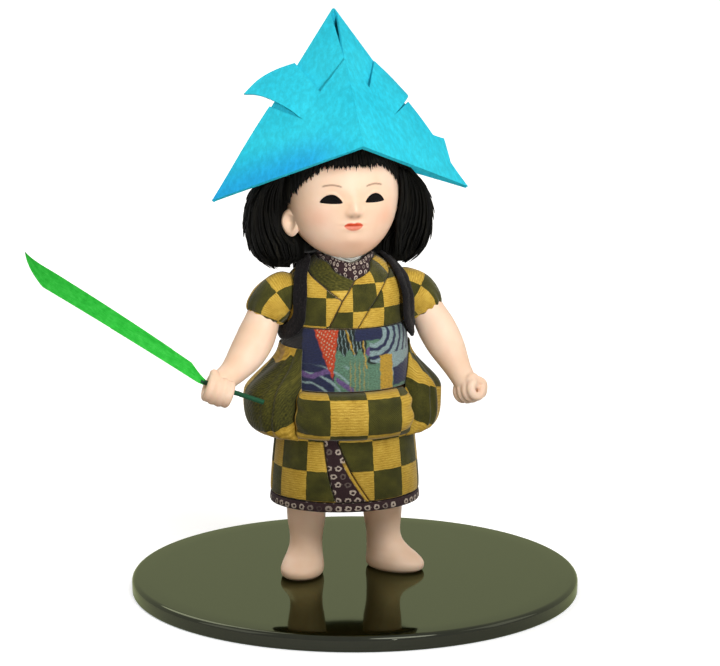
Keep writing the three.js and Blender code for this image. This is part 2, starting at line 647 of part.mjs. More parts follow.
// Each knot is [height, middle of the section ahead of the leg's axis, half length, half width].
const LEG_SECTIONS = [
  [0, 6.4, 13.2, 8.2], [1.2, 6.6, 14.6, 9.3], [4, 6.4, 14.8, 9.7], [7, 4.9, 13, 9.1], [10, 2.6, 10.6, 8.2],
  [13.5, 0.8, 8.8, 7.6], [18, 0, 8.2, 7.7], [26, -0.4, 9.1, 8.9], [LEG_SHOWN, -0.4, 9.4, 9.2],
  [LEG_SHOWN + LEG_IN_TORSO, -0.4, 9.4, 9.2],
];
const TOE_WIDTH = 0.13; // how much wider the toes are than the heel

const LEG_TOP = LEG_SHOWN + LEG_IN_TORSO;

function legRing(side, height, offset = 0, sides = 12) {
  const turn = degToRad(side > 0 ? LEFT_TOE_OUT : -RIGHT_TOE_OUT);
  const [ahead, halfLength, halfWidth] = interpolate(LEG_SECTIONS, height);
  return indices(sides, 0).map((k) => {
    const angle = (2 * Math.PI * k) / sides;
    const forward = ahead + (halfLength + offset) * Math.cos(angle);
    const sideways = (halfWidth + offset) * Math.sin(angle) * (1 + TOE_WIDTH * Math.cos(angle));
    return point(
      side * LEG_SPREAD + forward * Math.sin(turn) + sideways * Math.cos(turn),
      -forward * Math.cos(turn) + sideways * Math.sin(turn),
      height,
    );
  });
}

function leg(side) {
  const heights = [...LEG_SECTIONS.map(([height]) => height), 5.6, 8.4, 22].sort((a, b) => a - b);
  const solid = loft(heights.map((height) => legRing(side, height)));
  return solid.subtract(footPin(side, FIT)).subtract(legDowel(side, FIT));
}

// The socket in the torso that takes the top of a leg.
const legSocket = (side) => loft([HEM, LEG_TOP + FIT].map((height) => legRing(side, height, FIT)));

const legAxis = (side, height) => point(side * LEG_SPREAD, 0, height);
const footPin = (side, offset = 0, origin = point(0, 0, 0)) => rod(
  legAxis(side, -FOOT_PIN_IN_STAND - offset).add(origin),
  legAxis(side, FOOT_PIN_IN_LEG + offset).add(origin),
  FOOT_PIN_DIAMETER / 2 + offset,
);
const legDowel = (side, offset = 0) => rod(
  legAxis(side, LEG_TOP - LEG_DOWEL_LENGTH / 2 - offset),
  legAxis(side, LEG_TOP + LEG_DOWEL_LENGTH / 2 + offset),
  LEG_DOWEL_DIAMETER / 2 + offset,
);

// Arms

const shoulder = (side) => point(side * SHOULDER_X, 0, SHOULDER_HEIGHT);
const SWORD_GRIP = shoulder(-1).add(point(...SWORD_REACH)).toArray();

// Paths from the shoulder to the middle of the fist, and the way each fist's hollow points.
const ARMS = {
  right: {
    side: -1,
    path: [
      [-5.5, 0, -2.5], [-8.4, -0.8, -12.5], [-15, -4.2, -26.6], [-24.2, -10.6, -36.4], [-33, -16.2, -41.9],
    ],
    grip: SWORD_GRIP,
    axis: swordDirection(),
    hollow: STEM_DIAMETER / 2 + FIT,
  },
  left: {
    side: 1,
    path: [
      [5.5, 0, -2.5], [9, -1.6, -12.8], [13.9, -6, -23.4],
      [18.4, -10.6, -32.8], [22, -15.4, -41.2], [25, -19, -47.4],
    ],
    grip: [SHOULDER_X + 25.6, -20.2, SHOULDER_HEIGHT - 49.2],
    axis: point(0.5, -0.82, 0.28).normalize(),
    hollow: STEM_DIAMETER / 2,
  },
};
const ARM_RADII = [
  [0, ARM_RADIUS - 3.4], [0.1, ARM_RADIUS - 1.8], [0.25, ARM_RADIUS - 0.9], [0.42, ARM_RADIUS],
  [0.6, ARM_RADIUS - 0.5], [0.85, WRIST_RADIUS], [1, WRIST_RADIUS - 0.6],
];

function swordDirection() {
  const [rise, swing] = [degToRad(SWORD_RISE), degToRad(SWORD_SWING)];
  return point(-Math.cos(rise) * Math.cos(swing), Math.cos(rise) * Math.sin(swing), Math.sin(rise));
}

const armPath = ({ side, path }) => path.map((step) => point(...step).add(shoulder(side)));
const armLimb = (arm, offset = 0) => limb(armPath(arm), ARM_RADII, 9, 10, offset);

const FIST_ROUNDING = 1.18; // above 1 the ends of the fist stay blunt
const BETWEEN_FINGERS = 0.9; // radius between two fingers, as a share

// A closed hand, as a barrel of four fingers curled round its hollow, with a thumb laid across.
function fist(arm) {
  const fingers = 4;
  const half = FIST_LENGTH / 2;
  const profile = [[0, -half]];
  const rings = fingers * 2;
  for (let k = 0; k <= rings; k++) {
    const reach = lerp(-half, half, k / rings);
    const taper = Math.sqrt(1 - (reach / (half * FIST_ROUNDING)) ** 2);
    const knuckle = k % 2 ? 1 : BETWEEN_FINGERS;
    profile.push([FIST_RADIUS * taper * knuckle, reach]);
  }
  profile.push([0, half]);
  const turn = new THREE.Quaternion().setFromUnitVectors(point(0, 1, 0), arm.axis);
  const barrel = new THREE.LatheGeometry(profile.map(([x, y]) => new THREE.Vector2(x, y)), 10);
  barrel.applyQuaternion(turn).translate(...arm.grip);
  const grip = point(...arm.grip);
  const wrist = armPath(arm).at(-1);
  const towardsWrist = wrist.clone().sub(grip);
  towardsWrist.addScaledVector(arm.axis, -towardsWrist.dot(arm.axis)).normalize();
  const thumbSide = towardsWrist.clone().cross(arm.axis).normalize();
  const thumb = limb([
    grip.clone().addScaledVector(towardsWrist, FIST_RADIUS * 0.7).addScaledVector(arm.axis, half * 0.5),
    grip.clone().addScaledVector(thumbSide, FIST_RADIUS * 0.75).addScaledVector(arm.axis, half * 0.72),
    grip.clone().addScaledVector(thumbSide, FIST_RADIUS * 0.7).addScaledVector(arm.axis, half * 0.6)
      .addScaledVector(towardsWrist, -FIST_RADIUS * 0.7),
  ], [[0, 2.4], [0.6, 2.3], [0.9, 1.9], [1, 1]], 4, 6);
  const along = (reach) => grip.clone().addScaledVector(arm.axis, reach);
  const hollow = rod(along(-FIST_LENGTH), along(FIST_LENGTH), arm.hollow, 8);
  return { hand: solidOf(barrel).add(thumb), hollow };
}

function armSolid(arm) {
  const { hand, hollow } = fist(arm);
  return armLimb(arm).add(hand).subtract(hollow).subtract(armPeg(arm, FIT));
}

function armPeg({ side }, offset = 0) {
  const slant = degToRad(ARM_PEG_SLANT);
  const direction = point(side * Math.cos(slant), 0, -Math.sin(slant));
  const end = (reach) => shoulder(side).addScaledVector(direction, reach);
  const radius = ARM_PEG_DIAMETER / 2 + offset;
  return rod(end(-ARM_PEG_IN_TORSO - offset), end(ARM_PEG_IN_ARM + offset), radius, 8);
}

// A gathered cap sleeve, swelling over the top of the arm and drawn in round it.
function sleeve(arm) {
  const { side } = arm;
  const root = shoulder(side);
  const middleLine = [[-8, 0, -1.4], [1, 0, -5.2], [6, -0.2, -10], [8.6, -0.8, -15.2]];
  const path = middleLine.map(([x, y, z]) => root.clone().add(point(side * x, y, z)));
  const radii = [
    [0, SLEEVE_RADIUS - 4], [0.22, SLEEVE_RADIUS - 1], [0.5, SLEEVE_RADIUS], [0.8, SLEEVE_RADIUS - 0.5],
    [0.95, SLEEVE_RADIUS - 2], [1, SLEEVE_RADIUS - 3.7],
  ];
  const armhole = CHEST_HALF_WIDTH - ARMHOLE_IN;
  const bodySide = slab(point(side * armhole, -REACH, -REACH), point(-side * REACH, REACH, REACH));
  const puffed = limb(path, radii, 8, 13).subtract(bodySide).subtract(trunk(CLOTH_FACE + 2 * FIT));
  const cutters = [armLimb(arm, SLEEVE_OPENING_GAP), armPeg(arm, FIT), cordSolid(FIT)];
  return cutters.reduce((solid, cutter) => solid.subtract(cutter), puffed);
}

// Head, in its own frame

const NOSE_DROP = 6.6; // tip of the nose below the eyes
const NOSE_HALF_WIDTH = 2.5;
const NOSE_HALF_HEIGHT = 3;
const CHEEK_SWELL = 0.035; // share by which the cheeks widen the face
const CHEEK_LATITUDE = -24;
const CHEEK_SPAN = 20; // degrees
const EAR_HALF = [2.6, 4.2, 6.4];
const EAR_SINK = 1.8; // middle of an ear inside the head's half width
const EAR_FORWARD = 2.5;
const EAR_DROP = 14.5; // below the eyes
const FACE_COLUMNS = 22; // degrees by which columns are drawn together on the face

// A point of the head. Longitude counts from the face towards the figure's left.
function headPoint(longitude, latitude, offset = 0) {
  const [lon, lat] = [degToRad(longitude), degToRad(latitude)];
  const level = Math.cos(lat) ** (lat < 0 ? CHEEK_FULLNESS : 1);
  const direction = point(Math.sin(lon) * level, -Math.cos(lon) * level, Math.sin(lat));
  const bump = (distance, span) => Math.exp(-((distance / span) ** 2));
  const cheek = 1 + CHEEK_SWELL * bump(latitude - CHEEK_LATITUDE, CHEEK_SPAN) * Math.max(0, Math.cos(lon));
  const half = point(HEAD_HALF_WIDTH * cheek, HEAD_HALF_DEPTH, HEAD_HALF_HEIGHT);
  const spot = direction.clone().multiply(half).add(point(0, 0, HEAD_CENTRE));
  const aboveNose = spot.z - EYE_HEIGHT + NOSE_DROP;
  const onFace = direction.y < 0 ? 1 : 0;
  const nose = onFace * NOSE_LENGTH * bump(spot.x, NOSE_HALF_WIDTH) * bump(aboveNose, NOSE_HALF_HEIGHT);
  const chin = lat < 0 ? CHIN_FORWARD * Math.sin(lat) ** 2 : 0;
  return spot.addScaledVector(direction, offset).add(point(0, -nose - chin, 0));
}

function headBall(offset, columns, rows) {
  const rings = [];
  for (let r = 0; r <= rows; r++) {
    const latitude = lerp(-86, 86, r / rows);
    rings.push(indices(columns, 0).map((k) => {
      const turn = (360 * k) / columns;
      return headPoint(turn - FACE_COLUMNS * Math.sin(degToRad(turn)), latitude, offset);
    }));
  }
  return loft(rings);
}

// The head's ball with its ears.
function headWithEars(offset = 0, columns = 24, rows = 12) {
  const half = EAR_HALF.map((size) => size + offset);
  const earX = HEAD_HALF_WIDTH - EAR_SINK;
  const ears = [-1, 1].map((side) => (
    ellipsoid(point(side * earX, -EAR_FORWARD, EYE_HEIGHT - EAR_DROP), ...half, 10, 6)));
  return ears.reduce((solid, ear) => solid.add(ear), headBall(offset, columns, rows));
}

// An eyeball set in the face, turned to follow its curve.
function eye(side, offset = 0) {
  const turn = Math.asin(EYE_SPREAD / HEAD_HALF_WIDTH);
  const latitude = THREE.MathUtils.radToDeg(Math.asin((EYE_HEIGHT - HEAD_CENTRE) / HEAD_HALF_HEIGHT));
  const centre = headPoint(THREE.MathUtils.radToDeg(side * turn), latitude, -EYE_SINK);
  const ball = new THREE.SphereGeometry(1, 10, 6);
  ball.scale(EYE_HALF_WIDTH + offset, EYE_HALF_DEPTH + offset, EYE_HALF_HEIGHT + offset);
  return solidOf(ball.rotateZ(side * turn).translate(centre.x, centre.y, centre.z));
}

const neckPeg = (offset = 0, origin = point(0, 0, 0)) => rod(
  point(0, 0, NECK_PEG_IN_HEAD - NECK_PEG_LENGTH - offset).add(origin),
  point(0, 0, NECK_PEG_IN_HEAD + offset).add(origin), NECK_PEG_DIAMETER / 2 + offset, 16);

function head() {
  const seatRadius = NECK_RADIUS + CLOTH + 2 * FIT + Math.abs(HEAD_X);
  const seat = rod(point(0, 0, -HEAD_CENTRE), point(0, 0, FIT), seatRadius, 20);
  const neck = rod(point(0, 0, FIT), point(0, 0, HEAD_CENTRE / 2), NECK_RADIUS - 1.4, 20);
  let solid = headWithEars();
  for (const side of [-1, 1]) solid = solid.subtract(eye(side, FIT));
  return solid.subtract(seat).add(neck).subtract(neckPeg(FIT));
}

// Hair: outer rings of [height, half width, half depth] round an axis a little behind the head's
const HAIR_BACK = 3;
const HAIR_GAP = 1.5; // between the head and the inside of the hair
const HAIR_FRONT = -1.8; // front of the side locks
const HAIR_OVER_SHOULDER = 2.5; // underside of the hair above the straps, below the top of the neck
const HAIR_SHAPE = [
  [-HAIR_DROP, HAIR_HALF_WIDTH - 5, HAIR_HALF_DEPTH - 4],
  [-HAIR_DROP + 4, HAIR_HALF_WIDTH - 1.6, HAIR_HALF_DEPTH - 1.6],
  [6, HAIR_HALF_WIDTH, HAIR_HALF_DEPTH],
  [14, HAIR_HALF_WIDTH - 0.4, HAIR_HALF_DEPTH],
  [21, HAIR_HALF_WIDTH - 1.6, HAIR_HALF_DEPTH - 0.6],
  [28, HAIR_HALF_WIDTH - 5.4, HAIR_HALF_DEPTH - 1.8],
  [36, HAIR_HALF_WIDTH - 10.4, HAIR_HALF_DEPTH - 4],
  [44, HAIR_HALF_WIDTH - 13.6, HAIR_HALF_DEPTH - 5.4],
  [52, HAIR_HALF_WIDTH - 20.4, HAIR_HALF_DEPTH - 11],
  [58, HAIR_HALF_WIDTH - 30, HAIR_HALF_DEPTH - 21],
  [61.5, HAIR_HALF_WIDTH - 39, HAIR_HALF_DEPTH - 31],
];

function hairBulk(sides = 20) {
  return loft(HAIR_SHAPE.map(([height, halfWidth, halfDepth]) => indices(sides, 0).map((k) => {
    const angle = (2 * Math.PI * k) / sides;
    return point(halfWidth * Math.cos(angle), HAIR_BACK + halfDepth * Math.sin(angle), height);
  })));
}

// The room the hair leaves for the head, in fewer facets.
const headUnderHair = () => headWithEars(HAIR_GAP, 18, 9);

function hair() {
  const behind = slab(point(-REACH, HAIR_FRONT, -REACH), point(REACH, REACH, REACH));
  const nape = rod(point(0, 0, -REACH), point(0, 0, 5), 18, 24);
  const shoulders = rod(point(0, 0, -REACH), point(0, 0, -HAIR_OVER_SHOULDER), HAIR_HALF_WIDTH - 11, 28);
  const mass = hairBulk().intersect(behind).intersect(helmetHollow());
  return [headUnderHair(), nape, shoulders].reduce((solid, cutter) => solid.subtract(cutter), mass);
}

function fringe() {
  const ahead = slab(point(-REACH, -REACH, HAIRLINE), point(REACH, HAIR_FRONT - FIT, REACH));
  return hairBulk().intersect(ahead).intersect(helmetHollow()).subtract(headUnderHair());
}

// Folded paper helmet, in the head's frame

// A point of the helmet, which sits a little turned on the head.
const onHelmet = (x, y, rise) => (
  point(x, y, HELMET_TIP_HEIGHT + rise).applyAxisAngle(point(0, 0, 1), degToRad(HELMET_TURN)));
const APEX = onHelmet(0, HELMET_APEX_BACK, HELMET_RISE);
const BRIM_FRONT = onHelmet(0, -HELMET_FRONT, HELMET_BRIM_RISE);
const BRIM_BACK = onHelmet(0, HELMET_BACK, HELMET_BACK_RISE);
const tip = (side) => onHelmet(side * HELMET_HALF_WIDTH, 0, 0);

// One side of the helmet is a triangle from the apex to the brim's middle and a tip. A spot on it is
// [share of the way down the ridge, share of the way out to the tip, lift off the paper].
function helmetSide(side, brim) {
  const down = brim.clone().sub(APEX);
  const out = tip(side).sub(brim);
  const normal = down.clone().cross(out).normalize();
  if (normal.dot(point(0, brim.y, 0)) < 0) normal.negate();
  return (along, across, lift = 0) => (
    APEX.clone().addScaledVector(down, along).addScaledVector(out, across).addScaledVector(normal, lift));
}

// A flat layer of paper on a side of the helmet. Its corners may each have a lift of their own.
const paperLayer = (at, corners, low, high) => loft([low, high].map((level) => (
  corners.map(([along, across, lift = 0]) => at(along, across, lift + level)))));

const FLAP_TIP = 0.38; // top of the front flap, as a share of the ridge
const SIDE_CORNERS = [[0, 0], [1, 0], [1, 1]];
const CROWN_FLAP = [[0.035, 0.012], [FLAP_TIP + 0.06, 0.012], [0.54, 0.18], [0.3, 0.285], [0.06, 0.045]];
const FRONT_FLAP = [[FLAP_TIP, 0], [1, 0], [1, 0.99], [0.74, 0.73], [0.66, 0.3]];
const HORN_ROOT = -HELMET_FLAP; // root of a horn, sunk into the paper
const HORN_FOOT = 0.35; // lift of a horn's lower corner, as a share of its tip's
const HORNS = {
  right: [
    [0.29, 0.3, HORN_ROOT], [0.42, 0.645, HORN_LIFT],
    [0.67, 0.32, HORN_LIFT * HORN_FOOT], [0.55, 0.19, HORN_ROOT],
  ],
  left: [
    [0.33, 0.27, HORN_ROOT], [0.49, 0.51, HORN_LIFT],
    [0.665, 0.36, HORN_LIFT * HORN_FOOT], [0.54, 0.185, HORN_ROOT],
  ],
};

function paperHelmet() {
  let solid = null;
  const join = (layer) => {
    solid = solid ? solid.add(layer) : layer;
  };
  for (const [name, side] of SIDES) {
    const front = helmetSide(side, BRIM_FRONT);
    const back = helmetSide(side, BRIM_BACK);
    join(paperLayer(front, SIDE_CORNERS, -HELMET_PAPER, 0));
    join(paperLayer(back, SIDE_CORNERS, -HELMET_PAPER, 0));
    join(paperLayer(front, CROWN_FLAP, -HELMET_PAPER / 2, HELMET_FLAP));
    join(paperLayer(front, HORNS[name], HELMET_FLAP / 2, HELMET_FLAP * 1.6));
    join(paperLayer(front, FRONT_FLAP, -HELMET_PAPER / 2, HELMET_FLAP));
  }
  return solid;
}

// The space under the helmet, carried on downwards, less a clearance. Hair inside it is held to this.
function helmetHollow() {
  let space = slab(point(-REACH, -REACH, -REACH), point(REACH, REACH, REACH));
  for (const side of [-1, 1]) {
    for (const brim of [BRIM_FRONT, BRIM_BACK]) {
      const at = helmetSide(side, brim);
      const outside = paperLayer(at, [[-2, -2], [4, -2], [4, 4], [-2, 4]], -HELMET_PAPER - FIT, REACH);
      space = space.subtract(outside);
    }
  }
  return space;
}

// Iris leaf sword, along +X in its own frame, with the leaf's edge towards +Z

const LEAF_START = FIST_LENGTH / 2 + 2 * FIT;

function leaf() {
  const end = LEAF_START + LEAF_LENGTH;
  const bend = 0.287; // rise of the leaf for each millimetre along the stem's line
  const rise = (x) => (x - LEAF_START) * bend;
  const outline = new THREE.Shape();
  outline.moveTo(LEAF_START, 1.4);
  outline.lineTo(LEAF_START + 8.6, rise(LEAF_START + 8.6) + 4.4);
  outline.quadraticCurveTo(end - 50, rise(end - 50) + 4.2, end - 14, rise(end - 14) + 2.2);
  outline.quadraticCurveTo(end - 4, rise(end - 4) + 1.2, end, rise(end) + 2.6);
  outline.quadraticCurveTo(end - 3, rise(end - 3) - 3.2, end - 13, rise(end - 13) - 6.6);
  outline.quadraticCurveTo(end - 55, rise(end - 55) - 3.6, LEAF_START + 3, -1);
  outline.lineTo(LEAF_START, -1.2);
  outline.closePath();
  const extrusion = { depth: LEAF_THICKNESS, bevelEnabled: false, curveSegments: 8 };
  const plate = new THREE.ExtrudeGeometry(outline, extrusion);
  plate.translate(0, 0, -LEAF_THICKNESS / 2).rotateX(Math.PI / 2);
  return solidOf(plate).subtract(stem(FIT));
}

function stem(offset = 0) {
  const from = point(-STEM_BEHIND_GRIP - offset, 0, 0);
  const to = point(STEM_AHEAD_OF_GRIP + offset, 0, 0);
  return rod(from, to, STEM_DIAMETER / 2 + offset, 10);
}

// Materials

const paint = (color, roughness, metalness = 0) => (
  new THREE.MeshStandardMaterial({ color, roughness, metalness }));
const MATERIALS = {
  lacquer: paint(0x141512, 0.12),
  steel: paint(0xb9bcc0, 0.3, 1),
  woodPaste: paint(0xb79a72, 0.9),
  wood: paint(0xcaa878, 0.7),
  shellWhite: paint(0xf3d9bd, 0.45),
  glass: paint(0x0b0908, 0.05),
  brocade: paint(0x8a7c2e, 0.8),
  spotted: paint(0x3c2a34, 0.8),
  sash: paint(0x4f7d7c, 0.7),
  crepe: paint(0x17131a, 0.9),
  hair: paint(0x0d0c0b, 0.6),
  paper: paint(0x22b4e4, 0.7),
  leaf: paint(0x2fcf3c, 0.6),
  stem: paint(0x0f4a34, 0.8),
};

function addPiece(group, name, solid, material) {
  const { vertProperties, triVerts, numProp } = solid.getMesh();
  const geometry = new THREE.BufferGeometry();
  const positions = new THREE.InterleavedBuffer(vertProperties, numProp);
  geometry.setAttribute('position', new THREE.InterleavedBufferAttribute(positions, 3, 0));
  geometry.setIndex(new THREE.BufferAttribute(triVerts, 1));
  const mesh = new THREE.Mesh(geometry, material);
  mesh.name = name;
  group.add(mesh);
}

// Assembly

const doll = new THREE.Group();

const figure = new THREE.Group();
figure.position.set(FIGURE_X, FIGURE_Y, STAND_THICKNESS);
doll.add(figure);

const headGroup = new THREE.Group();
headGroup.position.set(HEAD_X, 0, NECK_TOP);
headGroup.rotation.z = degToRad(HEAD_TURN);
figure.add(headGroup);

const sword = new THREE.Group();
sword.position.set(...SWORD_GRIP);
sword.rotation.order = 'ZYX';
sword.rotation.set(0, -degToRad(SWORD_RISE), Math.PI - degToRad(SWORD_SWING));
figure.add(sword);

function standBoard() {
  const [edge, top, curl] = [STAND_DIAMETER / 2, STAND_THICKNESS, STAND_EDGE_RADIUS];
  const outline = new THREE.Path();
  outline.moveTo(0, 0);
  outline.lineTo(edge - curl / 2, 0);
  outline.absarc(edge - curl / 2, curl / 2, curl / 2, -Math.PI / 2, 0);
  outline.absarc(edge - curl, top - curl, curl, 0, Math.PI / 2);
  outline.lineTo(0, top);
  const disc = solidOf(new THREE.LatheGeometry(outline.getPoints(1), 48).rotateX(Math.PI / 2));
  const bores = SIDES.map(([, side]) => footPin(side, FIT, figure.position));
  return bores.reduce((solid, bore) => solid.subtract(bore), disc);
}

function torsoCore() {
  let solid = trunk(0);
  for (const line of GROOVES) solid = solid.subtract(groove(line));
  solid = solid.subtract(groove(neckTopEdge.slice(1), true));
  const ringHeights = [HEM_BAND_TOP, SKIRT_TOP, SASH_BOTTOM, SASH_TOP];
  for (const height of ringHeights) solid = solid.subtract(ringGroove(height));
  for (const [, side] of SIDES) solid = solid.subtract(legSocket(side)).subtract(legDowel(side, FIT));
  for (const arm of Object.values(ARMS)) solid = solid.subtract(armPeg(arm, FIT));
  return solid.subtract(neckPeg(FIT, headGroup.position));
}

addPiece(doll, 'stand_board', standBoard(), MATERIALS.lacquer);
addPiece(figure, 'torso_core', torsoCore(), MATERIALS.woodPaste);
for (const [name, side] of SIDES) {
  const arm = ARMS[name];
  addPiece(figure, `${name}_foot_pin`, footPin(side), MATERIALS.steel);
  addPiece(figure, `${name}_leg`, leg(side), MATERIALS.shellWhite);
  addPiece(figure, `${name}_leg_dowel`, legDowel(side), MATERIALS.wood);
  addPiece(figure, `${name}_arm`, armSolid(arm), MATERIALS.shellWhite);
  addPiece(figure, `${name}_arm_peg`, armPeg(arm), MATERIALS.steel);
  addPiece(figure, `${name}_sleeve`, sleeve(arm), MATERIALS.brocade);
  addPiece(figure, `${name}_hip_puff`, puff(side), MATERIALS.brocade);
  addPiece(headGroup, `${name}_eye`, eye(side), MATERIALS.glass);
}

const SPOTTED = ['under_collar', 'skirt_lining'];
const pegHoles = Object.values(ARMS).map((arm) => armPeg(arm, FIT));
for (const [name, panel] of Object.entries(PANELS)) {
  const cloth = pegHoles.reduce((solid, hole) => solid.subtract(hole), panelCloth(...panel));
  addPiece(figure, name, cloth, SPOTTED.includes(name) ? MATERIALS.spotted : MATERIALS.brocade);
}
addPiece(figure, 'hem_band', hemBand(), MATERIALS.spotted);
addPiece(figure, 'sash', sash(), MATERIALS.sash);
addPiece(figure, 'sash_bow', bowLoop().subtract(trunk(SASH_FACE + FIT)), MATERIALS.sash);
addPiece(figure, 'sash_knot', sashKnot(), MATERIALS.sash);
addPiece(figure, 'blouse_front', blouse(0), MATERIALS.brocade);
addPiece(figure, 'blouse_back', blouse(180), MATERIALS.brocade);
addPiece(figure, 'sleeve_cord', cordSolid(), MATERIALS.crepe);

addPiece(headGroup, 'head', head(), MATERIALS.shellWhite);
addPiece(headGroup, 'neck_peg', neckPeg(), MATERIALS.wood);
addPiece(headGroup, 'hair', hair(), MATERIALS.hair);
addPiece(headGroup, 'fringe', fringe(), MATERIALS.hair);
addPiece(headGroup, 'paper_helmet', paperHelmet(), MATERIALS.paper);

addPiece(sword, 'sword_leaf', leaf(), MATERIALS.leaf);
addPiece(sword, 'sword_stem', stem(), MATERIALS.stem);

export default doll;
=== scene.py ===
"""A kimekomi child doll with a folded paper helmet and an iris leaf sword, dressed over its frame.

Points are in millimetres until a mesh is made. The figure faces -Y and its right hand is on -X.
Heights of the figure count up from its soles, heights of the head from the top of the neck.
"""
import math

import bmesh
import bpy
import numpy as np
from mathutils import Matrix, Vector


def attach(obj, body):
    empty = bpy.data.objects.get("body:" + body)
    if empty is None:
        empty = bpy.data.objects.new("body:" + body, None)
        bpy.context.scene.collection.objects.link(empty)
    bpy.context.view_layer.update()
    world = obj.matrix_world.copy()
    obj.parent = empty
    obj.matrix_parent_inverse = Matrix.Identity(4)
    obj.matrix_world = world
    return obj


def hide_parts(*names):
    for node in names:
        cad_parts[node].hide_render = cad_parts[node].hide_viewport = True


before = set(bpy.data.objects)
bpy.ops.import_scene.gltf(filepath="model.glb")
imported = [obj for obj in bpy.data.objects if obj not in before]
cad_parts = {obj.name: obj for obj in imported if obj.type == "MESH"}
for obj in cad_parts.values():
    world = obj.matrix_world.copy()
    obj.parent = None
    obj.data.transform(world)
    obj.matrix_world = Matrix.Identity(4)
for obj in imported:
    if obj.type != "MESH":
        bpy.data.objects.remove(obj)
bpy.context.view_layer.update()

MM = 0.001
RANDOM_SEED = 5
RANDOM = np.random.default_rng(RANDOM_SEED)

# Sizes shared with the solids
FIT = 0.3
CLOTH = 0.6
CLOTH_GAP = 0.6
CLOTH_FACE = CLOTH_GAP + CLOTH
TUCK = 1.6
SEAM = 0.5
STAND_RADIUS = 105
STAND_THICKNESS = 7.5
STAND_EDGE = 2.4
FIGURE_X = -3
FIGURE_Y = 9
HEM = 34.5
SKIRT_LENGTH = 56
SASH_WIDTH = 29.5
CHEST_LENGTH = 34.5
SASH_BOTTOM = HEM + SKIRT_LENGTH
SASH_TOP = SASH_BOTTOM + SASH_WIDTH
NECK_TOP = SASH_TOP + CHEST_LENGTH
SKIRT_HALF = np.array([34.2, 28.6])
WAIST_HALF = np.array([28.2, 22.2])
CHEST_HALF = np.array([27.4, 21.6])
NECK_RADIUS = 11
HEM_BAND_WIDTH = 4.6
HEM_BAND_TOP = HEM + HEM_BAND_WIDTH
HEM_TURN = 3
SASH_FACE = FIT + 1.5
SASH_ROUNDING = SASH_WIDTH / 4
BLOUSE_LENGTH = 22
BLOUSE_BULGE = 8.4
BLOUSE_HALF_ANGLE = 50
PUFF_LENGTH = 43
PUFF_BULGE = {-1: 15.6, 1: 13.6}
PUFF_LEAN = {-1: 0, 1: 28}
PUFF_HANG = 1.5
PAD_EDGE = 0.6
PAD_GAP = 1
PAD_CLEARANCE = 0.45
CORD_WIDTH = 6.2
CORD_THICKNESS = 1.7
LEG_SPREAD = 18.3
TOE_OUT = {-1: -26, 1: 47}
LEG_TOP = HEM + 13
TOE_WIDTH = 0.13
SHOULDER_X = 29.6
SHOULDER_HEIGHT = NECK_TOP - 17
ARM_RADIUS = 9
WRIST_RADIUS = 6
FIST_RADIUS = 6.2
FIST_LENGTH = 13
SLEEVE_RADIUS = 11.1
HEAD_HALF = np.array([26.4, 27.4, 29.5])
HEAD_CENTRE = 27.8
CHEEK_FULLNESS = 0.78
CHIN_FORWARD = 3
HEAD_TURN = 4
HEAD_X = -1.6
NOSE_LENGTH = 2.6
NOSE_DROP = 5.4
EYE_SPREAD = 10.2
EYE_HEIGHT = 26.8
HAIR_HALF = np.array([44, 36])
HAIR_BACK = 3
HAIR_FRONT = -1.8
HAIRLINE = 42
HELMET_HALF_WIDTH = 62
HELMET_TURN = 2.4
HELMET_TIP_HEIGHT = 25
HELMET_RISE = 86
HELMET_BRIM_RISE = 26.5
HELMET_FRONT = 32
HELMET_BACK = 36
HELMET_BACK_RISE = 18.5
HELMET_APEX_BACK = 11
HELMET_PAPER = 1.1
HELMET_FLAP = 0.8
HORN_LIFT = 4
SWORD_RISE = 20.5
SWORD_SWING = 5
SWORD_GRIP = (-62.8, -18, 94.6)
STEM_RADIUS = 1.15
STEM_BEHIND_GRIP = 22
STEM_AHEAD_OF_GRIP = 9
LEAF_THICKNESS = 0.8
LEAF_LENGTH = 98
LEAF_START = FIST_LENGTH / 2 + 2 * FIT
LEAF_BEND = 0.287

SIDES = {"right": -1, "left": 1}
FIGURE = Matrix.Translation((FIGURE_X, FIGURE_Y, STAND_THICKNESS))
HEAD = (
    FIGURE
    @ Matrix.Translation((HEAD_X, 0, NECK_TOP))
    @ Matrix.Rotation(math.radians(HEAD_TURN), 4, "Z")
)
SWORD = (
    FIGURE
    @ Matrix.Translation(SWORD_GRIP)
    @ Matrix.Rotation(math.pi - math.radians(SWORD_SWING), 4, "Z")
    @ Matrix.Rotation(-math.radians(SWORD_RISE), 4, "Y")
)
PLACES = {"stand": Matrix.Identity(4), "doll": FIGURE, "head": HEAD, "helmet": HEAD, "sword": SWORD}


# Materials


def srgb(red, green, blue):
    """A colour given on the 0 to 255 scale of a screen, as linear light."""
    channels = [value / 255 for value in (red, green, blue)]
    linear = [c / 12.92 if c < 0.04045 else ((c + 0.055) / 1.055) ** 2.4 for c in channels]
    return (*linear, 1.0)


class Value:
    """A number in a node tree. Sums, products and differences of such numbers add their nodes."""

    def __init__(self, graph, socket):
        self.graph = graph
        self.socket = socket

    def __add__(self, other):
        return self.graph.math("ADD", self, other)

    def __sub__(self, other):
        return self.graph.math("SUBTRACT", self, other)

    def __rsub__(self, other):
        return self.graph.math("SUBTRACT", other, self)

    def __mul__(self, other):
        return self.graph.math("MULTIPLY", self, other)

    def __abs__(self):
        return self.graph.math("ABSOLUTE", self)


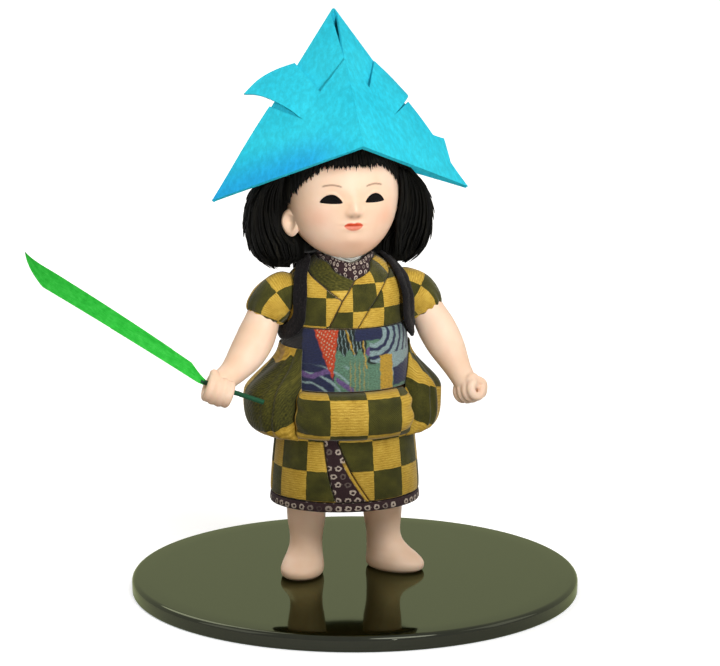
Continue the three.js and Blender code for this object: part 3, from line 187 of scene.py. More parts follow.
class Tree:
    """The node tree of a material or a world."""

    def __init__(self, owner):
        owner.use_nodes = True
        self.nodes = owner.node_tree.nodes
        self.links = owner.node_tree.links

    def feed(self, socket, value):
        if isinstance(value, Value):
            value = value.socket
        if isinstance(value, bpy.types.NodeSocket):
            self.links.new(value, socket)
        else:
            socket.default_value = value

    def node(self, kind, inputs=(), **options):
        made = self.nodes.new(kind)
        for key, value in options.items():
            setattr(made, key, value)
        for key, value in dict(inputs).items():
            self.feed(made.inputs[key], value)
        return made

    def math(self, operation, *values):
        made = self.node("ShaderNodeMath", dict(enumerate(values)), operation=operation)
        return Value(self, made.outputs[0])


class Graph(Tree):
    """A material's node tree, with short ways to add the nodes used here."""

    def __init__(self, name, **sockets):
        self.material = bpy.data.materials.new(name)
        super().__init__(self.material)
        self.shader = self.nodes["Principled BSDF"]
        for socket, value in sockets.items():
            self.shade(socket.replace("_", " "), value)

    def shade(self, socket, value):
        self.feed(self.shader.inputs[socket], value)

    def mix(self, factor, first, second, blend="MIX"):
        inputs = {"Factor": factor, "A": first, "B": second}
        return self.node("ShaderNodeMix", inputs, data_type="RGBA", blend_type=blend).outputs["Result"]

    def ramp(self, factor, *stops):
        """Colours along a factor, from stops (place, red, green, blue)."""
        made = self.node("ShaderNodeValToRGB", {"Fac": factor})
        elements = made.color_ramp.elements
        while len(elements) < len(stops):
            elements.new(0.5)
        for element, (position, *colour) in zip(elements, stops):
            element.position = position
            element.color = srgb(*colour)
        return made.outputs["Color"]

    def step(self, value, low, high):
        inputs = {"Value": value, "From Min": low, "From Max": high}
        made = self.node("ShaderNodeMapRange", inputs, interpolation_type="SMOOTHSTEP")
        return Value(self, made.outputs["Result"])

    def uv(self):
        return self.node("ShaderNodeUVMap", uv_map="cloth").outputs["UV"]

    def place(self):
        return self.node("ShaderNodeTexCoord").outputs["Object"]

    def parts(self, vector):
        outputs = self.node("ShaderNodeSeparateXYZ", {"Vector": vector}).outputs
        return [Value(self, socket) for socket in outputs]

    def noise(self, vector, scale, detail=3.0, rough=0.55):
        """Noise over a vector, at one scale or at a scale for each of its directions."""
        if isinstance(scale, tuple):
            vector = self.node("ShaderNodeMapping", {"Vector": vector, "Scale": scale}).outputs["Vector"]
            scale = 1.0
        inputs = {"Vector": vector, "Scale": scale, "Detail": detail, "Roughness": rough}
        return Value(self, self.node("ShaderNodeTexNoise", inputs).outputs["Fac"])

    def kept(self, name, output="Fac"):
        """A weight or a dye that is kept on the points of a mesh."""
        return self.node("ShaderNodeAttribute", attribute_name=name).outputs[output]

    def bump(self, height, distance, strength):
        inputs = {"Height": height, "Distance": distance, "Strength": strength}
        self.shade("Normal", self.node("ShaderNodeBump", inputs).outputs["Normal"])

    def finish(self, colour, roughness=None):
        self.shade("Base Color", colour)
        if roughness is not None:
            self.shade("Roughness", roughness)
        return self.material


RIBS_PER_SQUARE = 13
TWILLS_PER_SQUARE = 17
CHECK_WANDER = 0.05


def brocade_material():
    """Checked brocade, one unit of the map for each square: ribbed gold beside olive twill."""
    graph = Graph("brocade", Sheen_Weight=0.2, Sheen_Roughness=0.4, Specular_IOR_Level=0.15)
    cloth = graph.uv()
    wander = graph.noise(cloth, 5.0, 2.0) * CHECK_WANDER
    x, y, _ = graph.parts(cloth)
    across, along = x + wander, y + wander
    count = graph.math("FLOOR", across) + graph.math("FLOOR", along)
    gold = graph.math("MODULO", abs(count), 2.0)
    rib = graph.math("SINE", along * (RIBS_PER_SQUARE * 2 * math.pi))
    twill = graph.math("SINE", (across + along) * (TWILLS_PER_SQUARE * 2 * math.pi))
    float_yarn = graph.noise(cloth, (6.0, 34.0, 1.0), 2.0)
    patches = graph.noise(cloth, 1.7)
    fleck = graph.noise(cloth, 38.0, 2.0)
    gold_colour = graph.ramp(
        float_yarn * 0.4 + patches * 0.3 + fleck * 0.34 + rib * 0.05,
        (0.28, 120, 92, 24), (0.45, 170, 138, 48), (0.6, 198, 166, 68), (0.8, 230, 206, 114),
    )
    olive_colour = graph.ramp(
        fleck * 0.6 + patches * 0.5 + twill * 0.035,
        (0.3, 24, 25, 8), (0.5, 52, 53, 18), (0.66, 78, 76, 28), (0.85, 112, 106, 50),
    )
    graph.bump(graph.mix(gold, twill * 0.5, rib * 0.3 + float_yarn + fleck), 0.00018, 0.6)
    return graph.finish(graph.mix(gold, olive_colour, gold_colour), 0.78 - gold * 0.2)


RING_RADIUS = 0.25
RING_HALF_WIDTH = 0.085
RINGS_LEFT_OUT = 0.07


def spotted_material():
    """Dark silk with tie-dyed rings, one unit of the map for each ring, some of them faint."""
    graph = Graph("spotted", Sheen_Weight=0.1, Specular_IOR_Level=0.1)
    cloth = graph.uv()
    x, y, _ = graph.parts(cloth)
    row = graph.math("FLOOR", y)
    place = x + graph.math("MODULO", abs(row), 2.0) * 0.5
    across = graph.math("FRACT", place) - 0.5
    along = graph.math("FRACT", y) - 0.5
    cell = graph.node("ShaderNodeCombineXYZ", {"X": graph.math("FLOOR", place), "Y": row}).outputs["Vector"]
    chance = graph.node("ShaderNodeTexWhiteNoise", {"Vector": cell}).outputs["Value"]
    wander = (graph.noise(cloth, 3.0, 2.0) - 0.5) * 0.4
    distance = graph.math("SQRT", across * across + along * along) + wander
    ring = graph.step(abs(distance - RING_RADIUS), RING_HALF_WIDTH * 1.5, RING_HALF_WIDTH * 0.5)
    ring = ring * graph.step(chance, RINGS_LEFT_OUT, RINGS_LEFT_OUT * 4)
    silk = graph.noise(cloth, 26.0)
    ground = graph.ramp(silk, (0.3, 26, 20, 22), (0.55, 50, 34, 38), (0.8, 84, 54, 58))
    pale = graph.ramp(silk, (0.3, 128, 116, 108), (0.6, 206, 194, 182))
    gold = graph.ramp(silk, (0.3, 146, 114, 36), (0.7, 208, 174, 74))
    weave = graph.noise(cloth, (30.0, 60.0, 1.0), 1.0)
    graph.bump(weave + ring * 0.6, 0.0002, 0.6)
    dyed = graph.mix(ring, ground, pale)
    return graph.finish(graph.mix(graph.kept("piping"), dyed, gold), silk * 0.25 + 0.6)


def figured_material():
    """Woven figured cloth whose dyes are kept on its points, with weft lines and a soft lustre."""
    graph = Graph("sash", Sheen_Weight=0.25, Specular_IOR_Level=0.15)
    cloth = graph.uv()
    weft = graph.math("SINE", graph.parts(cloth)[1] * 9.0)
    yarn = graph.noise(cloth, (0.9, 2.6, 1.0), 4.0, 0.7)
    shade = graph.ramp(yarn, (0.3, 128, 132, 128), (0.5, 214, 214, 210), (0.7, 255, 255, 255))
    graph.bump(weft + yarn * 2.0, 0.00014, 0.6)
    return graph.finish(graph.mix(1.0, graph.kept("dye", "Color"), shade, "MULTIPLY"), 0.72 - yarn * 0.25)


# Pink of the cheeks, also used for painted shade along the jaw
BLUSH_AND_JAW_SHADE = srgb(236, 176, 146)
# Brown of the brows and the lip line, also used for painted shade under the nose
LINE_AND_NOSE_SHADE_BROWN = srgb(122, 92, 74)


def skin_material():
    """Polished shell white over a cast body, tinted, with painted lips, brows and cheeks, and painted shade
    under the nose and along the jaw.
    """
    graph = Graph("shell_white", Specular_IOR_Level=0.2, Subsurface_Weight=0.12, Subsurface_Scale=0.002)
    graph.shade("Subsurface Radius", (1.0, 0.45, 0.25))
    place = graph.place()
    cloud = graph.noise(place, 45.0)
    skin = graph.ramp(cloud, (0.3, 234, 200, 172), (0.7, 246, 220, 200))
    # Pink on the cheeks, and painted shade along the jaw, in one colour
    skin = graph.mix(graph.kept("blush_and_jaw_shade"), skin, BLUSH_AND_JAW_SHADE)
    # Brows and lip line, and painted shade under the nose, in one brown
    skin = graph.mix(graph.kept("lines_and_nose_shade"), skin, LINE_AND_NOSE_SHADE_BROWN)
    lips = graph.ramp(graph.noise(place, 500.0), (0.3, 196, 60, 34), (0.7, 222, 92, 58))
    graph.bump(cloud * 2.0 + graph.noise(place, 900.0, 2.0), 0.00008, 0.4)
    return graph.finish(graph.mix(graph.kept("lip"), skin, lips), cloud * 0.18 + 0.34)


# Deeper blue near the brim of the turned-up front: partly the paper's dye, partly painted shade
BRIM_BLUE_AND_SHADE = srgb(34, 172, 234)


def paper_material():
    """Dyed handmade paper with short fibres, its dye uneven, and bluer towards one edge, partly in its dye
    and partly as painted shade.
    """
    graph = Graph("paper", Specular_IOR_Level=0.12)
    place = graph.place()
    mottle = graph.noise(place, 28.0, 4.0, 0.6)
    fibre = graph.noise(place, (520.0, 520.0, 190.0), 4.0, 0.7)
    dye = graph.ramp(mottle, (0.25, 38, 200, 230), (0.5, 48, 210, 238), (0.75, 58, 218, 242))
    out, down, _ = graph.parts(graph.uv())
    # Partly dye and partly painted shade: deeper blue near the brim, towards the outer edge of the turned-up
    # front on the figure's right
    dye = graph.mix(graph.step(down, 0.74, 1.0) * graph.step(out, 0.0, 0.4), dye, BRIM_BLUE_AND_SHADE)
    pale = graph.ramp(fibre, (0.4, 205, 205, 205), (0.7, 255, 255, 255))
    graph.bump(fibre + mottle * 0.4, 0.00012, 0.5)
    return graph.finish(graph.mix(0.6, dye, graph.mix(1.0, dye, pale, "MULTIPLY")), fibre * 0.25 + 0.55)


PRIMER_EDGE = 0.006  # how far the primer reaches down the neck, in metres


def paste_material():
    """Cast wood paste, primed pale where the neck shows above the collar."""
    graph = Graph("wood_paste", Roughness=0.85)
    place = graph.place()
    grain = graph.noise(place, (400.0, 400.0, 80.0), 4.0)
    paste = graph.ramp(grain, (0.3, 150, 122, 84), (0.7, 196, 168, 124))
    primer = graph.ramp(grain, (0.3, 186, 188, 180), (0.7, 208, 210, 202))
    edge = (STAND_THICKNESS + NECK_TOP) * MM - PRIMER_EDGE
    graph.bump(grain, 0.0001, 0.5)
    return graph.finish(graph.mix(graph.step(graph.parts(place)[2], edge, edge + MM), paste, primer))


def mottled_material(name, stops, relief, rough, *layers, on_map=False, **sockets):
    """A finish with a colour that follows layers of noise, each (share in the colour, *noise).

    The first layer gives the relief (depth, strength) and the roughness (lowest, range) too.
    """
    graph = Graph(name, **sockets)
    vector = graph.uv() if on_map else graph.place()
    noises = [graph.noise(vector, *noise) for share, *noise in layers]
    tones = [noise * share for noise, (share, *_) in zip(noises, layers)]
    if relief:
        graph.bump(noises[0], *relief)
    tone = tones[0] if len(tones) == 1 else tones[0] + tones[1]
    return graph.finish(graph.ramp(tone, *stops), noises[0] * rough[1] + rough[0])


VARNISH = (0.755, 0.785, 0.62, 1.0)
MATERIALS = {
    "brocade": brocade_material(),
    "spotted": spotted_material(),
    "sash": figured_material(),
    "shell_white": skin_material(),
    "paper": paper_material(),
    "wood_paste": paste_material(),
    "eye_glass": mottled_material(
        "eye_glass", [(0.3, 3, 3, 3), (0.7, 14, 10, 8)], None, (0.08, 0.12), (1, 300.0),
        Specular_IOR_Level=0.08,
    ),
    # Black silk thread, a little browner in streaks along its strands
    "hair": mottled_material(
        "hair", [(0.3, 3, 3, 3), (0.55, 10, 10, 8), (0.8, 36, 34, 27)], (0.0004, 0.8), (0.45, 0.3),
        (1, (900.0, 900.0, 40.0)), Specular_IOR_Level=0.06,
    ),
    # A ribbed leaf with its fibres along its length
    "leaf": mottled_material(
        "leaf", [(0.3, 24, 164, 42), (0.5, 44, 198, 62), (0.75, 84, 224, 94)], (0.00025, 0.6), (0.45, 0.3),
        (0.6, (2.0, 60.0, 1.0)), (0.4, (3.0, 3.0, 1.0), 2.0), on_map=True, Specular_IOR_Level=0.15,
    ),
    # A stem bound with tape
    "stem": mottled_material(
        "stem", [(0.3, 8, 48, 32), (0.7, 28, 92, 60)], (0.0003, 0.7), (0.6, 0.2),
        (1, (4.0, 4.0, 1.0)), on_map=True, Specular_IOR_Level=0.25,
    ),
    "crepe": mottled_material(
        "crepe", [(0.35, 5, 5, 6), (0.55, 17, 15, 17), (0.75, 48, 44, 46)], (0.0005, 0.9), (0.6, 0.25),
        (0.7, 1100.0, 3.0, 0.6), (0.3, 120.0, 2.0), Sheen_Weight=0.06, Specular_IOR_Level=0.08,
    ),
    # Black lacquer under a thin greenish varnish, with faint polishing marks and dust
    "lacquer": mottled_material(
        "lacquer", [(0.45, 14, 16, 10), (0.8, 30, 33, 22)], (0.00002, 0.3), (0.04, 0.05),
        (0, 14.0, 2.0), (1, 260.0, 4.0, 0.7), IOR=1.5, Coat_Weight=1.0, Coat_IOR=1.02, Coat_Tint=VARNISH,
    ),
    "wood": mottled_material(
        "wood", [(0.3, 170, 132, 86), (0.7, 214, 182, 132)], (0.0001, 0.5), (0.6, 0.15),
        (1, (700.0, 700.0, 140.0), 4.0),
    ),
    "steel": mottled_material(
        "steel", [(0.3, 160, 162, 166), (0.7, 205, 207, 210)], (0.0001, 0.5), (0.2, 0.15),
        (1, (900.0, 900.0, 180.0), 4.0), Metallic=1.0,
    ),
}


# Meshes


def placed(points, place):
    """Points of one of the frames above, in metres in the object's frame."""
    matrix = np.array(place)
    flat = np.asarray(points, float).reshape(-1, 3)
    return (flat @ matrix[:3, :3].T + matrix[:3, 3]) * MM


def clean(mesh, tidy):
    work = bmesh.new()
    work.from_mesh(mesh)
    tidy(work)
    work.to_mesh(mesh)
    work.free()


WELD = MM * 0.002


def new_object(name, world, faces, uv=None, fields=None, dye=None):
    """A smooth mesh object. Its map, weights and dyes are given for each point."""
    mesh = bpy.data.meshes.new(name)
    mesh.from_pydata(world.tolist(), [], [list(face) for face in faces])
    if uv is not None:
        corner = np.empty(len(mesh.loops), int)
        mesh.loops.foreach_get("vertex_index", corner)
        layer = mesh.uv_layers.new(name="cloth")
        layer.data.foreach_set("uv", np.asarray(uv, float).reshape(-1, 2)[corner].ravel())
    for field, values in (fields or {}).items():
        mesh.attributes.new(field, "FLOAT", "POINT").data.foreach_set("value", np.ravel(values))
    if dye is not None:
        colours = np.hstack([np.reshape(dye, (-1, 3)), np.ones((len(world), 1))])
        mesh.attributes.new("dye", "FLOAT_COLOR", "POINT").data.foreach_set("color", colours.ravel())
    clean(mesh, lambda work: bmesh.ops.remove_doubles(work, verts=work.verts, dist=WELD))
    smooth_shaded(mesh)
    made = bpy.data.objects.new(f"{name}_finish", mesh)
    bpy.context.scene.collection.objects.link(made)
    return made


def smooth_shaded(mesh):
    mesh.polygons.foreach_set("use_smooth", np.ones(len(mesh.polygons), bool))


def face_outwards(mesh):
    clean(mesh, lambda work: bmesh.ops.recalc_face_normals(work, faces=work.faces))


def dress(made, name, body, slot):
    """Give a piece its finish and the body it rides on, and hide the solid that it stands for."""
    made.data.materials.append(MATERIALS[slot])
    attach(made, body)
    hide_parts(name)
    return made


def grid_faces(rows, columns, start=0):
    """Squares of a grid of points, kept row by row."""
    index = np.arange(rows * columns).reshape(rows, columns) + start
    corners = [index[:-1, :-1], index[:-1, 1:], index[1:, 1:], index[1:, :-1]]
    return np.stack(corners, axis=-1).reshape(-1, 4).tolist()


SIDE_EDGES = (np.s_[:, 0], np.s_[:, -1])
ALL_EDGES = (np.s_[0, :], np.s_[-1, :], *SIDE_EDGES)


class Build:
    """Points and faces of one mesh, gathered from several grids."""

    def __init__(self):
        self.points = []
        self.uvs = []
        self.faces = []
        self.count = 0

    def grid(self, points, uv=None):
        rows, columns = points.shape[:2]
        self.faces += grid_faces(rows, columns, self.count)
        self.points.append(points.reshape(-1, 3))
        self.uvs.append(np.zeros((rows * columns, 2)) if uv is None else np.reshape(uv, (-1, 2)))
        self.count += rows * columns

    def fan(self, ring):
        """Close a ring of points round its middle. The ring's last point repeats its first."""
        size = len(ring)
        self.points += [ring, ring[:-1].mean(axis=0)[None]]
        self.uvs.append(np.zeros((size + 1, 2)))
        self.faces += [[self.count + k, self.count + k + 1, self.count + size] for k in range(size - 1)]
        self.count += size + 1

    def tube(self, rings, uv=None):
        """A closed tube through rings, each of whose last point repeats its first."""
        self.grid(rings, uv)
        self.fan(rings[0])
        self.fan(rings[-1])

    def shell(self, outer, inner, uv=None, rim_uv=None, edges=ALL_EDGES):
        """Two like grids and a rim between their edges."""
        self.grid(outer, uv)
        self.grid(inner, uv)
        for edge in edges:
            rim = None if rim_uv is None else np.stack([rim_uv[edge], rim_uv[edge]])
            self.grid(np.stack([outer[edge], inner[edge]]), rim)

    def make(self, name, body, **options):
        world = placed(np.vstack(self.points), PLACES[body])
        made = new_object(name, world, self.faces, np.vstack(self.uvs), **options)
        face_outwards(made.data)
        return made

    def piece(self, name, body, slot, fill=None, **options):
        return dress(self.make(name, body, **options), name, body, slot)


def settle(made):
    """Keep what the modifiers make, so that none is left on the piece."""
    evaluated = made.evaluated_get(bpy.context.evaluated_depsgraph_get())
    made.data = bpy.data.meshes.new_from_object(evaluated)
    made.modifiers.clear()


def shares(count):
    return np.linspace(0, 1, count)


def circle(count):
    return np.linspace(0, 2 * math.pi, count)


def spots_of(*parts):
    """Points from their separate coordinates."""
    return np.stack(np.broadcast_arrays(*parts), axis=-1)


def run_along(points, axis=0):
    """Lengths from the start of each line of points."""
    steps = np.linalg.norm(np.diff(points, axis=axis), axis=-1)
    return np.concatenate([np.zeros_like(np.take(steps, [0], axis)), np.cumsum(steps, axis=axis)], axis=axis)


def sampled(wanted, at, values, **options):
    return np.stack([np.interp(wanted, at, column, **options) for column in values.T], axis=-1)


def interpolate(knots, x):
    """Smooth values through knots [x, value, value ...], running on straight past the ends."""
    knots = np.asarray(knots, float)
    x = np.asarray(x, float)
    at, values = knots[:, 0], knots[:, 1:]
    before = np.maximum(np.arange(len(at)) - 1, 0)
    after = np.minimum(np.arange(len(at)) + 1, len(at) - 1)
    slopes = (values[after] - values[before]) / (at[after] - at[before])[:, None]
    i = np.clip(np.searchsorted(at, x, side="right") - 1, 0, len(at) - 2)
    span = (at[i + 1] - at[i])[..., None]
    t = np.clip((x - at[i])[..., None] / span, 0, 1)
    smooth = values[i] * (1 + 2 * t) * (1 - t) ** 2 + values[i + 1] * t * t * (3 - 2 * t)
    smooth = smooth + span * (slopes[i] * t * (1 - t) ** 2 - slopes[i + 1] * t * t * (1 - t))
    beyond = (x - np.clip(x, at[0], at[-1]))[..., None]
    return smooth + beyond * np.where(x[..., None] < at[0], slopes[0], slopes[-1])


def bump_curve(distance, span):
    return np.exp(-((distance / span) ** 2))


def smoothstep(x, low, high):
    t = np.clip((x - low) / (high - low), 0, 1)
    return t * t * (3 - 2 * t)


CURVE_STEPS = 24


def smooth_path(points, count, closed=False):
    """Evenly spaced points on a smooth curve through a few given ones."""
    points = np.asarray(points, float)
    if closed:
        knots = np.vstack([points[-1:], points, points[:2]])
    else:
        knots = np.vstack([2 * points[0] - points[1], points, 2 * points[-1] - points[-2]])
    parts = []
    share = np.linspace(0, 1, CURVE_STEPS, endpoint=False)[:, None]
    for p0, p1, p2, p3 in zip(knots, knots[1:], knots[2:], knots[3:]):
        steps = [max(np.linalg.norm(b - a) ** 0.5, 1e-6) for a, b in ((p0, p1), (p1, p2), (p2, p3))]
        t1, t2, t3 = np.cumsum(steps)
        t = t1 + (t2 - t1) * share
        a1 = (t1 - t) / t1 * p0 + t / t1 * p1
        a2 = (t2 - t) / (t2 - t1) * p1 + (t - t1) / (t2 - t1) * p2
        a3 = (t3 - t) / (t3 - t2) * p2 + (t - t2) / (t3 - t2) * p3
        b1 = (t2 - t) / t2 * a1 + t / t2 * a2
        b2 = (t3 - t) / (t3 - t1) * a2 + (t - t1) / (t3 - t1) * a3
        parts.append((t2 - t) / (t2 - t1) * b1 + (t - t1) / (t2 - t1) * b2)
    return even_points(np.vstack(parts + [points[:1] if closed else points[-1:]]), count)


def even_points(line, count):
    """Evenly spaced points of a broken line."""
    line = np.asarray(line, float)
    run = run_along(line)
    return sampled(np.linspace(0, run[-1], count), run, line)


def unit(vectors):
    return vectors / np.maximum(np.linalg.norm(vectors, axis=-1, keepdims=True), 1e-9)


def rings_along(path, radii, sides, steady=(0.0, -1.0, 0.0)):
    """Round rings along a path, one for each of its points. Each ring's last point repeats its first."""
    tangent = unit(np.gradient(path, axis=0))
    first = unit(np.cross(tangent, steady))
    second = np.cross(tangent, first)
    angle = circle(sides + 1)
    radii = np.broadcast_to(np.asarray(radii, float).reshape(len(path), -1), (len(path), sides + 1))
    around = first[:, None] * np.cos(angle)[:, None] + second[:, None] * np.sin(angle)[:, None]
    return path[:, None] + around * radii[..., None]


# Torso surface, in the figure's frame

CORE_BOTTOM = HEM + CLOTH + FIT
TRUNK = np.array(
    [
        [CORE_BOTTOM, *SKIRT_HALF],
        [HEM + 18, *(SKIRT_HALF - [1.2, 1])],
        [HEM + 36, *(SKIRT_HALF - 3)],
        [SASH_BOTTOM, *(WAIST_HALF + 0.8)],
        [SASH_BOTTOM + SASH_WIDTH / 2, *WAIST_HALF],
        [SASH_TOP, *(CHEST_HALF + 0.2)],
        [NECK_TOP - 22, *CHEST_HALF],
        [NECK_TOP - 16, *(CHEST_HALF - [1, 1.6])],
        [NECK_TOP - 12, *(CHEST_HALF - [3.4, 3.8])],
        [NECK_TOP - 8, *(CHEST_HALF - [8.2, 6.8])],
        [NECK_TOP - 4, NECK_RADIUS + 2, NECK_RADIUS + 1.4],
        [NECK_TOP, NECK_RADIUS, NECK_RADIUS],
    ]
)
SLOPE_STEP = 0.05


def trunk_points(degrees, heights, offsets=0.0):
    """Points of the bare torso. Degrees count from the front towards the figure's left."""
    degrees, heights, offsets = np.broadcast_arrays(degrees, heights, offsets)

    def place(turn, up):
        half = interpolate(TRUNK, up)
        angle = np.radians(turn)
        return np.stack([half[..., 0] * np.sin(angle), -half[..., 1] * np.cos(angle), up], axis=-1)

    across = place(degrees + SLOPE_STEP, heights) - place(degrees - SLOPE_STEP, heights)
    along = place(degrees, heights + SLOPE_STEP) - place(degrees, heights - SLOPE_STEP)
    return place(degrees, heights) + unit(np.cross(across, along)) * offsets[..., None]


def off_trunk(points, clearance):
    """Push points that lie inside the dressed torso out to its surface."""
    half = interpolate(TRUNK, points[..., 2])
    angle = np.arctan2(points[..., 0] / half[..., 0], -points[..., 1] / half[..., 1])
    surface = trunk_points(np.degrees(angle), points[..., 2], clearance)
    inside = np.linalg.norm(points[..., :2], axis=-1) < np.linalg.norm(surface[..., :2], axis=-1)
    return np.where(inside[..., None], surface, points)


# Cloth panels

FINE = 7  # pieces of a seam for each piece of the solid's seam
SEAM_SAMPLES = 161
NAPE = 180
SIDE = 90
COLLAR_V = (2, NECK_TOP - 12.6)
COLLAR_CROSS = (-11.5, NECK_TOP - 21.5)
COLLAR_EDGE = NECK_TOP - 6.5
COLLAR_NECK = NECK_TOP - 3.6
SHOULDER_SEAM = NECK_TOP - 8.7
SIDE_SEAM_TOP = NECK_TOP - 7.4
SKIRT_TOP = SASH_BOTTOM - BLOUSE_LENGTH + 8
SKIRT_LAP_BOTTOM = 10
LINING_BOTTOM = -17
SKIRT_LAP_TOP = -22
LINING_TOP = -30
UNDER_COLLAR_SHARE = 0.62  # of the bare neck that the under-collar covers
UNDER_COLLAR_DROP = 0.4


def seam(pieces, *spots):
    """A line on the torso through a few spots [degrees, height], as evenly spaced spots."""
    knots = np.column_stack([shares(len(spots)), spots])
    fine = interpolate(knots, shares(SEAM_SAMPLES))
    run = run_along(trunk_points(fine[:, 0], fine[:, 1]))
    return sampled(np.linspace(0, run[-1], pieces * FINE + 1), run, fine)


def join_seams(*lines):
    return np.vstack([lines[0]] + [line[1:] for line in lines[1:]])


def around_back(line):
    return line + [360, 0]


def skirt_side(side):
    return seam(5, (side * SIDE, HEM_BAND_TOP), (side * SIDE, SKIRT_TOP))


def chest_side(side):
    return seam(6, (side * SIDE, SASH_TOP), (side * SIDE, SIDE_SEAM_TOP))


def neck_edge(side, pieces):
    return seam(
        pieces,
        COLLAR_V,
        (COLLAR_V[0] + side * 20, NECK_TOP - 9.4),
        (side * 40, NECK_TOP - 5.4),
        (side * 75, NECK_TOP - 4.2),
        (side * 115, COLLAR_NECK),
        (side * NAPE, COLLAR_NECK),
    )


def behind_neck(side):
    return seam(5, (side * SIDE, SIDE_SEAM_TOP), (side * 125, COLLAR_EDGE), (side * NAPE, COLLAR_EDGE))


def shoulder(side):
    return join_seams(seam(2, (side * 66, SHOULDER_SEAM), (side * SIDE, SIDE_SEAM_TOP)), behind_neck(side))


lap_low = seam(2, (-25, SASH_TOP), COLLAR_CROSS)
lap_high = seam(2, COLLAR_CROSS, COLLAR_V)
neck_left = neck_edge(1, 9)
neck_right = neck_edge(-1, 11)
shoulder_left = shoulder(1)
shoulder_right = shoulder(-1)
breast_left = seam(6, (3, SASH_TOP), (17, NECK_TOP - 24.5), (37, NECK_TOP - 14.5), shoulder_left[0])
breast_right = seam(4, COLLAR_CROSS, (-36, NECK_TOP - 13.8), shoulder_right[0])
neckline = join_seams(neck_right[::-1], neck_left)
neck_rise = (NECK_TOP - neckline[:, 1]) * UNDER_COLLAR_SHARE
neck_top_edge = np.column_stack([neckline[:, 0], neckline[:, 1] + neck_rise - UNDER_COLLAR_DROP])
skirt_lap = seam(5, (SKIRT_LAP_BOTTOM, HEM_BAND_TOP), (-6, HEM + 20), (SKIRT_LAP_TOP, SKIRT_TOP))
lining_edge = seam(5, (LINING_BOTTOM, HEM_BAND_TOP), (-24, HEM + 20), (LINING_TOP, SKIRT_TOP))
back_top = join_seams(behind_neck(1), around_back(behind_neck(-1)[::-1]))
back_bottom = seam(10, (SIDE, SASH_TOP), (360 - SIDE, SASH_TOP))

RING_STEP = 3.8  # between two rings of the spotted silk
SMALL_RING_STEP = 2.5
TORSO_RADIUS = 29  # turns degrees on the torso into cloth millimetres


def around_map(square, turn, lift, tall=None):
    """A map that runs round the torso and up it, with a corner of a check at a given spot."""

    def to_map(degrees, heights, *_):
        across = np.radians(degrees - turn) * TORSO_RADIUS / square
        return spots_of(across, (heights - lift) / (tall or square))

    return to_map


def neck_map(degrees, heights, along, across):
    """A map that runs along the seams of the under-collar."""
    return spots_of((across + 0.5) / SMALL_RING_STEP, along / SMALL_RING_STEP)


EDGE_ROUND = 0.9
EDGE_TURNS = np.radians([0, 25, 50, 72, 90])
EDGE_INSET = np.concatenate([[0], EDGE_ROUND * (1 - np.cos(EDGE_TURNS))])
EDGE_FACE = np.concatenate([[-TUCK], CLOTH_FACE - EDGE_ROUND * (1 - np.sin(EDGE_TURNS))])
EDGE_SHARE = 0.35  # of a narrow panel that an edge may take up
PANEL_PUFF = 0.4  # how far a panel swells between its seams
PUFF_REACH = 3.5
PANEL_THICKNESS = CLOTH * 0.8
PANEL_SHARES = shares(9)
PIPED_PANEL = "skirt_lining"
PIPING_WIDTH = 1.9
PIPING_BLUR = 0.2
PIPING_RISE = 0.3
PIPING_TOP = 0.46  # of the panel's height


def edge_samples(lengths, inner):
    """Places across a panel, close together where its two edges turn down, with their offsets."""
    lengths = np.asarray(lengths, float)[:, None] - SEAM
    reach = EDGE_INSET * np.minimum(1, EDGE_SHARE * lengths / EDGE_ROUND)
    middle = reach[:, -1:] + (lengths - 2 * reach[:, -1:]) * shares(inner + 2)[1:-1]
    places = np.hstack([reach, middle, lengths - reach[:, ::-1]]) + SEAM / 2
    offsets = np.concatenate([EDGE_FACE, np.full(inner, CLOTH_FACE), EDGE_FACE[::-1]])
    return places, offsets


def line_lengths(points, axis):
    return np.linalg.norm(np.diff(points, axis=axis), axis=-1).sum(axis=axis)


